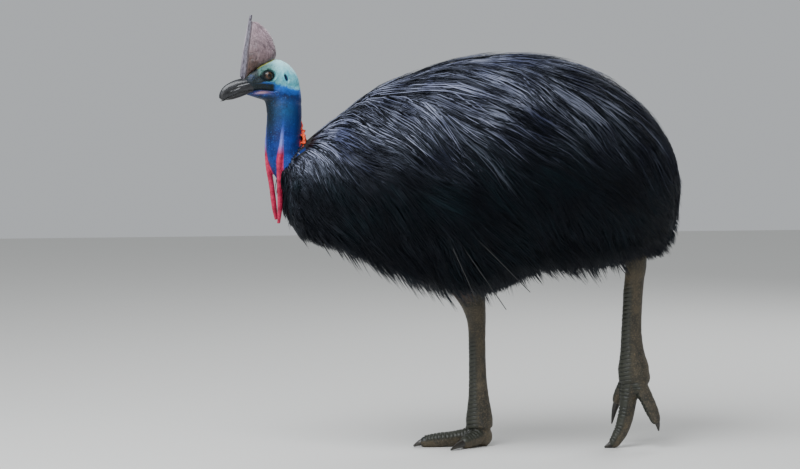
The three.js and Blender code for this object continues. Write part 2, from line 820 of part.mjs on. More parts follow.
function locks() {
  const random = seeded(SEED);
  const vary = (size, part) => size * (1 + part * (2 * random() - 1));
  const made = [];
  for (let x = RIDGE.from; x < RIDGE.to; x += RIDGE.step) {
    const at = corePoint(x, made.length % 2 ? RIDGE.turn : -RIDGE.turn);
    const shape = { ...RIDGE, length: vary(RIDGE.length, 0.1), share: coreShare(x, 1) };
    made.push(lock(lockLine(at, shape), vary(RIDGE.half, 0.15)));
  }
  for (const { at, x, turn, share } of lockRoots(random)) {
    const breast = THREE.MathUtils.smoothstep(-x, 250, 440);
    const tip = Math.abs(turn) < 0.8 ? 0.985 : 1;
    const length = vary(THREE.MathUtils.lerp(LOCK.length, LOCK.length * 0.5, breast), 0.12);
    const half = vary(THREE.MathUtils.lerp(LOCK.half, LOCK.half * 0.6, breast), 0.15);
    const clearance = 14 * random();
    if (Math.abs(turn) < 2 * RIDGE.turn) continue;
    const line = fittedLine(at, { length, tip, share, rise: 2.2 }, clearance);
    if (line) made.push(lock(line, half));
  }
  for (const sign of [-1, 1])
    for (const { from, to, step, turn, back, up, half, drop } of FRINGES)
      for (let x = from; x < to; x += step) {
        const at = corePoint(x + 16 * (random() - 0.5), sign * vary(turn, 0.06));
        const low = sectionAt(at.x + back).low + drop + 16 * (random() - 0.35);
        const end = new THREE.Vector3(at.x + vary(back, 0.5), at.y * 0.93, Math.min(low, at.z - 30));
        made.push(lock(hangingLine(at, end, up), vary(half, 0.15)));
      }
  return made;
}

function addTorso() {
  let torso = join([coreShell(16, 18), ...locks()]);
  torso = torso.subtract(neck(GAP)).subtract(caruncles(GAP));
  for (const name of ["left", "right"]) torso = torso.subtract(wattle(name, GAP));
  for (const sign of [-1, 1]) torso = torso.subtract(wing(sign, GAP));
  for (const made of Object.values(LEGS)) torso = torso.subtract(leg(made, GAP));
  place(group, "torso", torso.trimByPlane([-1, 0, 0], -RUMP_AT), "plumage");
  place(group, "rump", torso.trimByPlane([1, 0, 0], RUMP_AT + GAP), "plumage");
  place(group, "wing_left", wing(-1), "quill");
  place(group, "wing_right", wing(1), "quill");
}

addHead();
addNeck();
addLegs();
addTorso();

export default group;
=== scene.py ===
# %% [markdown]
# # A walking southern cassowary, life size
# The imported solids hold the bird's true size and stance, but their skin is faceted and their plumage is a
# hundred broad locks. This lesson dresses them: one smooth skin over all the flesh, hair-like feathers made
# strand by strand, and a casque, bill, eyes and claws that stay pieces of their own. Lengths are in
# millimetres, as in the solids, and MM turns them into Blender's metres. The bird faces -X, so its left
# side, which the camera sees, is towards -Y.

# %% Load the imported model
import math

import bmesh
import bpy
import numpy as np
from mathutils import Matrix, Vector, noise


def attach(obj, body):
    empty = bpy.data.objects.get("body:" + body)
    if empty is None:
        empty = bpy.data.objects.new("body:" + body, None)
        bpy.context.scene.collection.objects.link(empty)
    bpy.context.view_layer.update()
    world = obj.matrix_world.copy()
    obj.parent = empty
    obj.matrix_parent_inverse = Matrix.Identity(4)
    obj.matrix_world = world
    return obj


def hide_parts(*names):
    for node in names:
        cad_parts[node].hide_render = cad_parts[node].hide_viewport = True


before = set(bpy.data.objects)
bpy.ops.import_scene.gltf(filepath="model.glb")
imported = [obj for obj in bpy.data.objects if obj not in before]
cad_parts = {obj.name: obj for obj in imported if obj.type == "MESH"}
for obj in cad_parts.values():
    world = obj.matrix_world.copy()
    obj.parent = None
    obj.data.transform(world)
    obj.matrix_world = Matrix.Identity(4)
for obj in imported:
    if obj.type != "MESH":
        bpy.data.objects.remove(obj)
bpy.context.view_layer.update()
MM = 0.001


# %% [markdown]
# ## Camera, floor and light
# The picture was taken with a long lens from the bird's left, a little in front of it and a little above
# its back. A long lens far away keeps the near and far legs almost the same size, as they are there. The
# light is that of an open shade: one large soft source overhead, which draws a real sheen on the back, on
# top of a sheen painted into the feathers' colour, and a weak one from the camera's side, so that the black
# flank isn't lost.

# %% Camera
CAMERA = {"target": (-0.139, 0.0, 0.565), "azimuth": -9.0, "elevation": 4.0, "distance": 7.0, "lens": 121.0}


def start_clean():
    """Leaves edit mode and deselects everything, so that the next operator acts on its own piece only."""
    if bpy.context.object and bpy.context.object.mode != "OBJECT":
        bpy.ops.object.mode_set(mode="OBJECT")
    bpy.ops.object.select_all(action="DESELECT")


def aim(spot, target):
    """The turn that points a camera or a lamp at spot towards target."""
    return (Vector(target) - Vector(spot)).to_track_quat("-Z", "Y").to_euler()


start_clean()
azimuth, elevation = math.radians(CAMERA["azimuth"]), math.radians(CAMERA["elevation"])
towards = Vector((
    math.sin(azimuth) * math.cos(elevation),
    -math.cos(azimuth) * math.cos(elevation),
    math.sin(elevation),
))
eye_point = Vector(CAMERA["target"]) + CAMERA["distance"] * towards
bpy.ops.object.camera_add(location=eye_point, rotation=aim(eye_point, CAMERA["target"]))
camera = bpy.context.object
camera.data.lens = CAMERA["lens"]
camera.data.sensor_width = 36.0
bpy.context.scene.camera = camera
print("camera at", [round(v, 2) for v in eye_point])

# %% Lamps and sky
LAMPS = [
    {"name": "sky_panel", "at": (-1.5, -1.5, 3.3), "size": 2.4, "power": 185.0, "colour": (0.93, 0.96, 1.0)},
    {"name": "side_fill", "at": (-2.4, -4.4, 1.2), "size": 2.6, "power": 38.0, "colour": (1.0, 0.98, 0.95)},
    {"name": "rear_fill", "at": (2.4, 2.6, 2.8), "size": 2.0, "power": 70.0, "colour": (0.95, 0.97, 1.0)},
]
for lamp in LAMPS:
    start_clean()
    bpy.ops.object.light_add(type="AREA", location=lamp["at"], rotation=aim(lamp["at"], (0, 0, 0.6)))
    light = bpy.context.object
    light.name = lamp["name"]
    light.data.size = lamp["size"]
    light.data.energy = lamp["power"]
    light.data.color = lamp["colour"]
sky = bpy.data.worlds.new("studio_sky")
sky.use_nodes = True
sky.node_tree.nodes["Background"].inputs["Color"].default_value = (0.80, 0.83, 0.86, 1.0)
sky.node_tree.nodes["Background"].inputs["Strength"].default_value = 0.6
bpy.context.scene.world = sky
print("lamps:", len(LAMPS))


# %% [markdown]
# ## A toolbox for finishes
# Every finish is a small tree of nodes. It could be wired by hand in the shader editor. Here one function
# adds any kind of node, sets it and links it, and another lays colours over each other as a painter glazes,
# so that a finish reads from top to bottom like a recipe. Colours are the hex codes that painters and web
# pages use, turned into the linear values that a renderer adds up.

# %% Colours, nodes and layers
def srgb(code):
    """#RRGGBB as the linear colour that shaders use."""
    parts = [int(code[i:i + 2], 16) / 255 for i in (1, 3, 5)]
    return tuple(p / 12.92 if p <= 0.04045 else ((p + 0.055) / 1.055) ** 2.4 for p in parts) + (1.0,)


def per_metre(size):
    """How often a pattern whose grains are size mm wide comes in a metre, which is a texture's Scale."""
    return 1.0 / (size * MM)


def add(tree, kind, links=None, out=0, **settings):
    """Adds a node and returns one of its outputs. links maps inputs to values, hex colours or outputs."""
    made = tree.nodes.new("ShaderNode" + kind)
    for key, value in settings.items():
        setattr(made, key, value)
    for key, value in (links or {}).items():
        if isinstance(value, bpy.types.NodeSocket):
            tree.links.new(value, made.inputs[key])
        else:
            made.inputs[key].default_value = srgb(value) if isinstance(value, str) else value
    return made.outputs[out]


def paint(tree, colour, *layers):
    """Lays colours over one another: each layer is a mask and a colour, or a value, its levels and a colour."""
    for mask, *levels, above in layers:
        if levels:
            mask = add(tree, "MapRange", {0: mask, 1: levels[0], 2: levels[1]})
        colour = add(tree, "Mix", {0: mask, 6: colour, 7: above}, out=2, data_type="RGBA")
    return colour


def read_masks(tree, *names):
    """The numbers that a mesh carries at its points, as outputs."""
    return [add(tree, "Attribute", out="Fac", attribute_name=name) for name in names]


def new_material(name):
    """A material, its tree and its Principled shader."""
    material = bpy.data.materials.new(name)
    material.use_nodes = True
    return material, material.node_tree, material.node_tree.nodes["Principled BSDF"]


def surface(tree, shader, colour, roughness, height=None, strength=0.0, depth=0.0):
    """Gives the shader its colour, its roughness and a relief that is depth mm high."""
    tree.links.new(colour, shader.inputs["Base Color"])
    shader.inputs["Roughness"].default_value = roughness
    if height is not None:
        relief = add(tree, "Bump", {"Strength": strength, "Distance": depth * MM, "Height": height})
        tree.links.new(relief, shader.inputs["Normal"])


print("toolbox ready")

# %% Floor
start_clean()
bpy.ops.mesh.primitive_plane_add(size=16.0, location=(0, 0, 0))
floor = bpy.context.object
floor.name = "studio_floor"
plaster, tree, shader = new_material("matt plaster floor")
shader.inputs["Base Color"].default_value = srgb("#D9D8D4")
shader.inputs["Roughness"].default_value = 0.9
floor.data.materials.append(plaster)
print("floor:", floor.name)


# %% [markdown]
# ## Limbs
# Necks, toes, claws, wattles and legs are all long rounded forms with a few known widths along a bent
# line. They could be sculpted or made with metaballs, but a disc that is extruded ring by ring keeps every
# width where it was measured. Each row holds x, y, z, half-width and half-depth. A smooth curve runs
# through the rows, and each new ring is put across it.

# %% Vectors and curves
ACROSS = (0.0, 1.0, 0.0)


def unit(v):
    """Arrows of any length, made 1 long."""
    v = np.asarray(v, float)
    return v / np.maximum(np.linalg.norm(v, axis=-1, keepdims=True), 1e-9)


def smoothstep(value, low, high):
    """0 below low, 1 above high, and a soft curve in between."""
    t = np.clip((np.asarray(value, float) - low) / (high - low), 0, 1)
    return t * t * (3 - 2 * t)


def bump_of(value, middle, width):
    """1 where value is at the middle, fading to 0 about two widths away."""
    return np.exp(-((value - middle) / width) ** 2)


def along(rows, t):
    """A smooth curve through rows, read at shares t of its length, 0 to 1."""
    rows = np.asarray(rows, float)
    spans = len(rows) - 1
    ends = np.vstack([2 * rows[0] - rows[1], rows, 2 * rows[-1] - rows[-2]])
    s = np.clip(np.atleast_1d(t) * spans, 0, spans - 1e-9)
    i = s.astype(int)
    f = (s - i)[:, None]
    a, b, c, d = ends[i], ends[i + 1], ends[i + 2], ends[i + 3]
    square, cube = 2 * a - 5 * b + 4 * c - d, 3 * b - a - 3 * c + d
    return 0.5 * (2 * b + (c - a) * f + square * f ** 2 + cube * f ** 3)


def ring_points(rows, sides, rings, across=ACROSS, level=False, power=2.0):
    """The corners of every ring of a limb, in millimetres."""
    spots = along(rows, np.linspace(0, 1, rings + 1))
    path = unit(np.gradient(spots[:, :3], axis=0))
    if level:
        path = np.broadcast_to((0.0, 0.0, -1.0), path.shape)
    side = unit(np.asarray(across) - (path @ unit(across))[:, None] * path)
    deep = np.cross(path, side)
    turn = 2 * math.pi * np.arange(sides) / sides
    bend = [np.sign(v) * np.abs(v) ** (2 / power) for v in (np.cos(turn), np.sin(turn))]
    width, depth = spots[:, 3, None] * bend[0], spots[:, 4, None] * bend[1]
    return spots[:, None, :3] + side[:, None] * width[..., None] + deep[:, None] * depth[..., None]


# %% Limbs and balls
def limb(name, rows, sides=20, rings=12, **shape):
    """Extrudes a disc ring by ring through rows."""
    places = ring_points(rows, sides, rings, **shape) * MM
    start_clean()
    bpy.ops.mesh.primitive_circle_add(vertices=sides, radius=1.0, fill_type="NGON")
    piece = bpy.context.object
    piece.name = name
    for vertex, place in zip(piece.data.vertices, places[0]):
        vertex.co = place
    bpy.ops.object.mode_set(mode="EDIT")
    bpy.ops.mesh.select_all(action="SELECT")
    for last, ring in zip(places, places[1:]):
        bpy.ops.mesh.extrude_region_move()
        corners = [v for v in bmesh.from_edit_mesh(piece.data).verts if v.select]
        now = np.array([v.co for v in corners])
        order = np.argmin(np.linalg.norm(now[:, None] - last[None], axis=2), axis=1)
        for corner, number in zip(corners, order):
            corner.co = ring[number]
        bmesh.update_edit_mesh(piece.data)
    bpy.ops.mesh.select_all(action="SELECT")
    bpy.ops.mesh.normals_make_consistent(inside=False)
    bpy.ops.object.mode_set(mode="OBJECT")
    return piece


def blob(name, at, half, turn=(0.0, 0.0, 0.0), segments=20, rings=12):
    """A ball at a place in millimetres, stretched to three half-widths."""
    start_clean()
    bpy.ops.mesh.primitive_uv_sphere_add(
        segments=segments, ring_count=rings, radius=1.0,
        location=[v * MM for v in at], rotation=turn, scale=[v * MM for v in half],
    )
    piece = bpy.context.object
    piece.name = name
    return piece


def apply_modifier(piece, kind, **settings):
    """Adds a modifier, sets it and makes it part of the mesh."""
    start_clean()
    piece.select_set(True)
    bpy.context.view_layer.objects.active = piece
    modifier = piece.modifiers.new(kind.lower(), kind)
    for key, value in settings.items():
        setattr(modifier, key, value)
    bpy.ops.object.modifier_apply(modifier=modifier.name)


def fuse(name, parts, voxel, passes=4):
    """Joins closed pieces, grows one skin over them with cells of voxel mm, and relaxes it."""
    start_clean()
    for part in parts:
        part.select_set(True)
    bpy.context.view_layer.objects.active = parts[0]
    bpy.ops.object.join()
    piece = bpy.context.object
    piece.name = name
    bpy.ops.object.transform_apply(location=True, rotation=True, scale=True)
    apply_modifier(piece, "REMESH", mode="VOXEL", voxel_size=voxel * MM, use_smooth_shade=True)
    if passes:
        apply_modifier(piece, "SMOOTH", factor=0.5, iterations=passes)
    return piece


def read_points(piece):
    """A mesh's points in millimetres."""
    flat = np.empty(len(piece.data.vertices) * 3, np.float32)
    piece.data.vertices.foreach_get("co", flat)
    return flat.reshape(-1, 3).astype(float) / MM


def read_normals(piece):
    """The way out of the mesh at each of its points."""
    flat = np.empty(len(piece.data.vertices) * 3, np.float32)
    piece.data.vertices.foreach_get("normal", flat)
    return flat.reshape(-1, 3).astype(float)


def write_points(piece, points):
    """Moves a mesh's points to places in millimetres."""
    piece.data.vertices.foreach_set("co", (points * MM).astype(np.float32).ravel())
    piece.data.update()


def write_attribute(piece, name, values):
    """Stores one number a point, for a material to read."""
    layer = piece.data.attributes.new(name, "FLOAT", "POINT")
    layer.data.foreach_set("value", np.asarray(values, np.float32))


def nearest(rows, points, samples=160):
    """The nearest place on a curve through rows: its share of the length, its row and the distance."""
    shares = np.linspace(0, 1, samples)
    spots = along(rows, shares)
    found = np.empty(len(points), int)
    for start in range(0, len(points), 20000):
        part = points[start:start + 20000]
        found[start:start + 20000] = np.argmin(
            np.linalg.norm(part[:, None] - spots[None, :, :3], axis=2), axis=1)
    gap = np.linalg.norm(points - spots[found, :3], axis=1)
    return shares[found], spots[found], gap


def ripple(points, size, offset=0.0):
    """Smooth noise from -1 to 1 whose waves are about size mm long."""
    spots = points / size + offset
    return np.array([noise.noise(Vector(spot)) for spot in spots])


def finish(piece, slot, *materials, stands_for=()):
    """Rides on the one body, takes its finish, and hides the solids it stands for."""
    for material in materials:
        piece.data.materials.append(material)
    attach(piece, "root")
    if stands_for:
        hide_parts(*stands_for)
    return piece


# %% [markdown]
# ## The body under the feathers
# A cassowary's trunk can't be seen, but every feather needs it to stand on. The same rows as in the solids
# give, for each place along the bird, the top of the back, the lowest tips of the plumage and half its
# width. A depth of 0 is the middle of the body and 1 is where the tips end. The trunk's skin is a sphere
# whose points are moved out to the depth of the solids' core.

# %% Rows of the plumage and the depth functions
PLUMAGE = np.array([
    [-448, 704, 676, 16], [-432, 762, 612, 66], [-395, 806, 582, 92], [-315, 870, 541, 134],
    [-190, 960, 476, 184], [-50, 1014, 418, 218], [65, 1037, 394, 233], [164, 1044, 436, 237],
    [263, 1035, 466, 231], [361, 1006, 468, 213], [455, 950, 484, 177], [528, 883, 506, 134],
    [575, 812, 545, 92], [600, 740, 622, 42], [606, 700, 672, 14],
], float)
SLOPES = np.gradient(PLUMAGE[:, 1:], PLUMAGE[:, 0], axis=0)
BREAST_X, RUMP_X = PLUMAGE[0, 0], PLUMAGE[-1, 0]
WIDEST_AT = 0.47
UPPER_POWER, LOWER_POWER = 2.0, 2.9
CORE = {"above": 0.935, "beside": 0.9, "below": 0.83, "breast": 0.965, "rear": 0.955}


def section_at(x):
    """At x: the height of the middle, the reach up and down, the half-width, and the lowest tips."""
    x = np.clip(x, BREAST_X, RUMP_X)
    i = np.clip(np.searchsorted(PLUMAGE[:, 0], x, side="right") - 1, 0, len(PLUMAGE) - 2)
    span = (PLUMAGE[i + 1, 0] - PLUMAGE[i, 0])[:, None]
    t = (x - PLUMAGE[i, 0])[:, None] / span
    rows = (
        (2 * t ** 3 - 3 * t ** 2 + 1) * PLUMAGE[i, 1:] + (t ** 3 - 2 * t ** 2 + t) * span * SLOPES[i]
        + (3 * t ** 2 - 2 * t ** 3) * PLUMAGE[i + 1, 1:] + (t ** 3 - t ** 2) * span * SLOPES[i + 1]
    )
    back, low, wide = rows.T
    middle = low + WIDEST_AT * (back - low)
    return middle, back - middle, middle - low, wide, low


def core_share(x, rise):
    """How deep the trunk's skin lies: feathers are short on the breast and long below."""
    share = np.where(rise > 0, CORE["above"],
                     CORE["beside"] + (CORE["below"] - CORE["beside"]) * np.clip(-rise, 0, 1))
    return share + (CORE["breast"] - share) * smoothstep(-x, 250, 440)


def core_point(x, turn, sunk=0.0):
    """Points of the trunk at places x, turned from the back (0) round to the belly (pi)."""
    middle, up, down, wide, _ = section_at(x)
    c, s = np.cos(turn), np.sin(turn)
    power = np.where(c > 0, UPPER_POWER, LOWER_POWER)
    rise, out = (np.sign(v) * np.abs(v) ** (2 / power) for v in (c, s))
    share = core_share(x, rise) - sunk
    place = np.where(x > 0, x * CORE["rear"], x)
    return np.stack([place, out * wide * share, middle + rise * np.where(c > 0, up, down) * share], axis=1)


def depth_at(points):
    """How deep points lie in the body: 0 in the middle, 1 where the feathers' tips end."""
    middle, up, down, wide, _ = section_at(points[:, 0])
    beyond = np.maximum(0, np.maximum(points[:, 0] - RUMP_X, BREAST_X - points[:, 0]))
    rise = points[:, 2] - middle
    power = np.where(rise > 0, UPPER_POWER, LOWER_POWER)
    beside = np.abs(points[:, 1] / wide) ** power + np.abs(rise / np.where(rise > 0, up, down)) ** power
    return beside ** (1 / power) + beyond / 15


def outwards(points):
    """The way out of the body, as the slope of the depth."""
    step = 2.0
    slope = np.empty_like(points)
    for axis in range(3):
        shift = np.zeros(3)
        shift[axis] = step
        slope[:, axis] = (depth_at(points + shift) - depth_at(points - shift)) / (2 * step)
    return slope


def set_depth(points, share, rounds=5):
    """Moves points in or out until they lie at the depth share."""
    for _ in range(rounds):
        slope = outwards(points)
        steep = np.linalg.norm(slope, axis=1)
        move = np.clip((share - depth_at(points)) / steep, -12, 12)
        points = points + slope / steep[:, None] * move[:, None]
    return points


print("plumage from", BREAST_X, "to", RUMP_X, "mm")


# %% [markdown]
# ## The rows of the body
# These are the widths that the solids use too, measured on the photograph and completed from the species:
# the skull and throat in the head's own frame (forward, up, half-width, half-height), and the neck,
# wattles, legs and toes where they stand.

# %% Head, neck and wattles
HEAD_AT = np.array([-452.0, 0.0, 978.0])
HEAD_YAW = math.radians(12)
NECK_YAW = math.radians(28)
EYE = {"forward": 40.0, "out": 20.5, "up": 1.0, "radius": 14.5}
EAR = {"forward": -6.5, "up": -5.0, "half": 10.0, "width": 4.0, "lean": 0.41}
CRANIUM = [
    [-47, -27, 15, 13], [-37, -23, 25, 21], [-25, -15, 30.5, 29], [-10, -7, 33, 38], [6, -3, 34, 45.5],
    [28, -5, 33.5, 46], [50, -12, 30, 41], [68, -15, 26, 33], [84, -22, 22, 25.5], [92, -27, 14, 16],
]
THROAT = [
    [-6, -16, 29, 31], [-2, -42, 32.5, 51], [-7, -62, 34.5, 48.5], [-10, -78, 35.5, 46.5],
    [-10.5, -94, 36, 46],
]
JAW = [
    [96, -43, 8, 3.5], [84, -44, 14, 6], [66, -47, 20, 8.5], [44, -51, 25, 11], [20, -55, 28, 14],
    [0, -58, 29, 16],
]
NAPE = [[-20, -4, 20, 25], [-24, -25, 26, 28.5], [-26, -45, 30, 29.5], [-27, -68, 32, 30.5]]
MOUTH_LINE = np.array([
    [14, -40], [26, -38], [58, -34.5], [86, -36.5], [114, -43], [140, -54], [170, -69],
], float)
NECK = [
    [-446, -2, 934, 28, 36], [-441, -2, 900, 35.5, 45.5], [-441.5, -1, 860, 36, 45], [-443, -1, 815, 37, 46],
    [-438, 0, 775, 40, 49], [-413, 0, 735, 46, 54], [-370, 0, 700, 54, 60], [-325, 0, 676, 56, 58],
]
WATTLES = {
    "left": [
        [-446, -33, 880, 1.5, 1.5], [-449, -35, 848, 2.2, 2.4], [-451, -37, 824, 3.0, 3.0],
        [-453, -39, 800, 4.6, 4.2], [-458, -38, 753, 8.5, 5.5],
        [-457, -31, 696, 8, 4.8], [-455, -22, 644, 8, 4.8], [-458, -13, 598, 4.5, 3],
    ],
    "right": [
        [-484, 6, 880, 1.5, 1.5], [-485, 7, 848, 2.2, 2.4], [-486, 8, 824, 3.0, 3.0],
        [-487, 10, 798, 4.6, 4.2], [-482, 8, 747, 8.5, 5.5],
        [-474, 5, 696, 8, 4.8], [-468, 2, 644, 8, 4.8], [-463, -1, 607, 4.5, 3],
    ],
}


def from_head(points):
    """Points given as forward, out to the bird's right, up in the head's frame, as places in the scene."""
    c, s = math.cos(HEAD_YAW), math.sin(HEAD_YAW)
    forward, right, up = np.asarray(points, float).T
    return np.stack([-c * forward - s * right, -s * forward + c * right, up], axis=1) + HEAD_AT


def to_head(points):
    """Places in the scene as points in the head's frame, the reverse of from_head."""
    c, s = math.cos(HEAD_YAW), math.sin(HEAD_YAW)
    x, y, z = (points - HEAD_AT).T
    return np.stack([-(c * x + s * y), -s * x + c * y, z], axis=1)


def head_rows(rows):
    """Rows of forward, up, half-width and half-height as rows of a limb."""
    rows = np.asarray(rows, float)
    places = from_head(np.stack([rows[:, 0], 0 * rows[:, 0], rows[:, 1]], axis=1))
    return np.hstack([places, rows[:, 2:4]])


def mouth_at(forward):
    """The height of the line between the two halves of the bill."""
    return np.interp(forward, MOUTH_LINE[:, 0], MOUTH_LINE[:, 1])


HEAD_ACROSS = (-math.sin(HEAD_YAW), math.cos(HEAD_YAW), 0.0)
NECK_FORWARD = (-math.cos(NECK_YAW), -math.sin(NECK_YAW), 0.0)
print("head at", HEAD_AT)

# %% Legs and toes
LEGS = {
    "right": [
        [-60, 62, 640, 56, 74], [-18, 58, 545, 48, 66], [26, 50, 458, 37, 50], [58, 44, 395, 27, 37],
        [70, 40, 345, 22, 27], [73, 38, 290, 20, 22.5], [75, 38, 200, 19, 22.5], [78, 38, 130, 22, 27],
        [80, 38, 75, 28, 35], [80, 38, 50, 29, 35],
    ],
    "left": [
        [335, -70, 760, 56, 74], [385, -64, 680, 48, 64], [436, -56, 600, 38, 48], [470, -50, 535, 28, 35],
        [480, -48, 485, 23, 29], [475, -48, 430, 21, 26], [470, -48, 320, 21, 26], [472, -48, 255, 26, 31],
        [476, -48, 210, 31, 41], [476, -48, 175, 30, 38],
    ],
}
PADS = {"right": ([84, 38, 26], [31, 29, 30]), "left": ([488, -50, 186], [32, 29, 32])}
TOES = {
    "right": {
        "middle": [[84, 38, 34, 26, 27], [48, 38, 24, 21, 24], [10, 38, 19, 19, 21], [-34, 38, 17, 18, 19],
                   [-66, 38, 14, 15, 16]],
        "inner": [[82, 32, 30, 22, 24], [58, 12, 20, 18, 20], [34, -5, 15, 14.5, 16]],
        "outer": [[82, 44, 30, 22, 24], [52, 66, 19, 18, 20], [20, 88, 16, 16, 17], [-2, 104, 13, 13, 14]],
    },
    "left": {
        "middle": [[474, -48, 182, 26, 28], [464, -49, 138, 21, 23], [457, -50, 92, 19, 21],
                   [444, -51, 46, 17, 19], [424, -52, 13, 13, 15]],
        "inner": [[468, -40, 180, 22, 24], [452, -22, 146, 17, 19], [443, -10, 122, 13.5, 15]],
        "outer": [[480, -56, 180, 22, 24], [502, -72, 138, 17, 19], [518, -83, 100, 15.5, 17],
                  [526, -88, 78, 12.5, 13.5]],
    },
}
CLAWS = {
    "right": {
        "middle": [[-60, 38, 15, 10, 10.5], [-78, 38, 12, 8, 8.5], [-97, 38, 3.5, 2.2, 2.6]],
        "inner": [[40, -1, 16, 10, 11.5], [14, -22, 12, 7.5, 8.5], [-12, -44, 3.5, 1.6, 2.2]],
        "outer": [[3, 100, 14, 8.5, 9], [-12, 111, 10, 6, 6.5], [-27, 122, 3.2, 1.8, 2.2]],
    },
    "left": {
        "middle": [[430, -52, 20, 9.5, 10], [415, -52, 9, 7.5, 9.5], [397, -53, 2.2, 2, 2.6]],
        "inner": [[445, -12, 128, 9.5, 11], [437, -2, 98, 7.5, 8.5], [430, 5, 56, 1.6, 2]],
        "outer": [[524, -86, 84, 8.5, 9], [530, -90, 68, 6.5, 7], [533, -93, 48, 1.6, 2]],
    },
}


def across_toe(rows):
    """Across a toe, level with the ground."""
    run = np.array(rows[-1][:2], float) - np.array(rows[0][:2], float)
    return (run[1], -run[0], 0.0)


print("legs and toes:", sum(len(toes) for toes in TOES.values()), "toes")


# %% [markdown]
# ## One skin
# The bare parts are limbs and balls, fused by growing one voxel skin over them, which rounds the places
# where they meet as real skin does. Lids, ear, mouth corner and scutes are then pressed into it point by
# point. The trunk is joined by a Boolean union, so that from the crown to the toes it is a single closed
# surface and no seam shows.

# %% Head and neck
BROW = {"forward": EYE["forward"] + 3, "out": 26.0, "up": 16.0, "half": (20, 7, 4.5), "tilt": 0.08}
base_parts = [
    limb("skull", head_rows(CRANIUM), sides=24, rings=14, across=HEAD_ACROSS),
    limb("throat", head_rows(THROAT), sides=24, rings=8, across=HEAD_ACROSS, level=True),
    limb("neck", NECK, sides=28, rings=14, across=HEAD_ACROSS),
    limb("jaw", head_rows(JAW), sides=20, rings=12, across=HEAD_ACROSS),
    limb("nape", head_rows(NAPE), sides=20, rings=8, across=HEAD_ACROSS, level=True),
]
for sign in (-1, 1):
    brow = from_head([[BROW["forward"], sign * BROW["out"], BROW["up"]]])[0]
    base_parts.append(blob("brow", brow, BROW["half"], turn=(0, BROW["tilt"], HEAD_YAW)))
base = fuse("base", base_parts, voxel=2.0, passes=12)
print("head and neck:", len(base.data.polygons), "faces")

# %% [markdown]
# ## Wattles and caruncles
# Two flat lobes hang from the front of the neck, and folds of orange skin run down the nape like twisted
# ribbons. They could be sculpted. Here each wattle is one limb, and each ribbon a limb whose rows swing from
# side to side, with small balls for the knobs. Random numbers from a fixed seed make the folds uneven in
# the same way each time. They are fused into the neck, so that no edge shows where they grow out of it.

# %% Wattles and the ribbons of the nape
CARUNCLES = {
    "top": 882.0, "bottom": 760.0, "folds": 16, "axis": -443, "back": 27, "flat": 0.62,
    # where each ribbon starts and ends round the neck, in radians from the nape, and how far down it starts
    "ribbons": [
        (0.12, 0.55, 0.0), (-0.12, -0.55, 0.0), (0.25, 0.95, 0.45), (-0.25, -0.95, 0.45), (0.0, 0.1, 0.35),
    ],
}
NAPE_REACH = {"behind": 45, "beside": 36}
rng = np.random.default_rng(7)
head_parts = [base]
for side, rows in WATTLES.items():
    head_parts.append(limb("wattle_" + side, rows, sides=12, rings=16, across=NECK_FORWARD))
caruncle_places = []
behind = np.array([math.cos(HEAD_YAW), math.sin(HEAD_YAW), 0])
left = np.array([math.sin(HEAD_YAW), -math.cos(HEAD_YAW), 0])
for start_turn, end_turn, first in CARUNCLES["ribbons"]:
    rows = []
    for k in range(CARUNCLES["folds"]):
        share = first + (1 - first) * k / (CARUNCLES["folds"] - 1)
        swing = (1 if k % 2 else -1) * (0.03 + 0.13 * share) + rng.uniform(-0.03, 0.03)
        turn = start_turn + (end_turn - start_turn) * share + swing
        out = 0.5 + 9.0 * share ** 2 + rng.uniform(-1, 1) * (1 + 2 * share)
        height = CARUNCLES["top"] + share * (CARUNCLES["bottom"] - CARUNCLES["top"]) + rng.uniform(-2, 2)
        place = np.array([CARUNCLES["axis"] + CARUNCLES["back"] * share ** 2, 0.0, height])
        place = place + (NAPE_REACH["behind"] + out) * math.cos(turn) * behind
        place = place + (NAPE_REACH["beside"] + out) * math.sin(turn) * left
        size = (2.2 + 4.8 * share) * rng.uniform(0.75, 1.2)
        rows.append([*place, size, size * CARUNCLES["flat"]])
        caruncle_places.append([*place, size])
        if k % 3 == 1 and share > 0.3:
            half = (size * 0.9, size * 0.7, size * 1.5)
            lean = (rng.uniform(-1.1, 1.1), rng.uniform(-0.6, 0.6), HEAD_YAW)
            head_parts.append(blob("fold", place + 2.5 * behind, half, turn=lean, segments=12, rings=8))
    head_parts.append(limb("ribbon", rows, sides=12, rings=5 * CARUNCLES["folds"], across=tuple(left)))
caruncle_places = np.array(caruncle_places)
head_skin = fuse("head_skin", head_parts, voxel=2.1, passes=1)
print("with wattles:", len(head_skin.data.polygons), "faces;", len(caruncle_places), "folds")

# %% [markdown]
# ## Lids, ear and mouth
# The face decides whether the bird looks alive: a lid that wraps the eyeball, the folds round it, an open
# ear, and a mouth that runs on behind the bill. A sculptor would push these in by hand with brushes. Here
# the faces of that region are halved, and every point is moved in or out by rules that read its place in
# the head's own frame, so that both sides are alike and each depth has a number.

# %% Finer faces where the lids, ear and mouth will be pressed
def face_centres(piece):
    """The middle of each face, in millimetres."""
    flat = np.empty(len(piece.data.polygons) * 3, np.float32)
    piece.data.polygons.foreach_get("center", flat)
    return flat.reshape(-1, 3).astype(float) / MM


def refine(piece, chosen, smoothness=0.6):
    """Halves the edges of the chosen faces."""
    start_clean()
    piece.data.polygons.foreach_set("select", chosen)
    piece.select_set(True)
    bpy.context.view_layer.objects.active = piece
    bpy.ops.object.mode_set(mode="EDIT")
    bpy.ops.mesh.select_mode(type="FACE")
    bpy.ops.mesh.subdivide(number_cuts=1, smoothness=smoothness)
    bpy.ops.mesh.select_all(action="DESELECT")
    bpy.ops.object.mode_set(mode="OBJECT")
    print(piece.name, int(chosen.sum()), "faces made finer, now", len(piece.data.polygons))


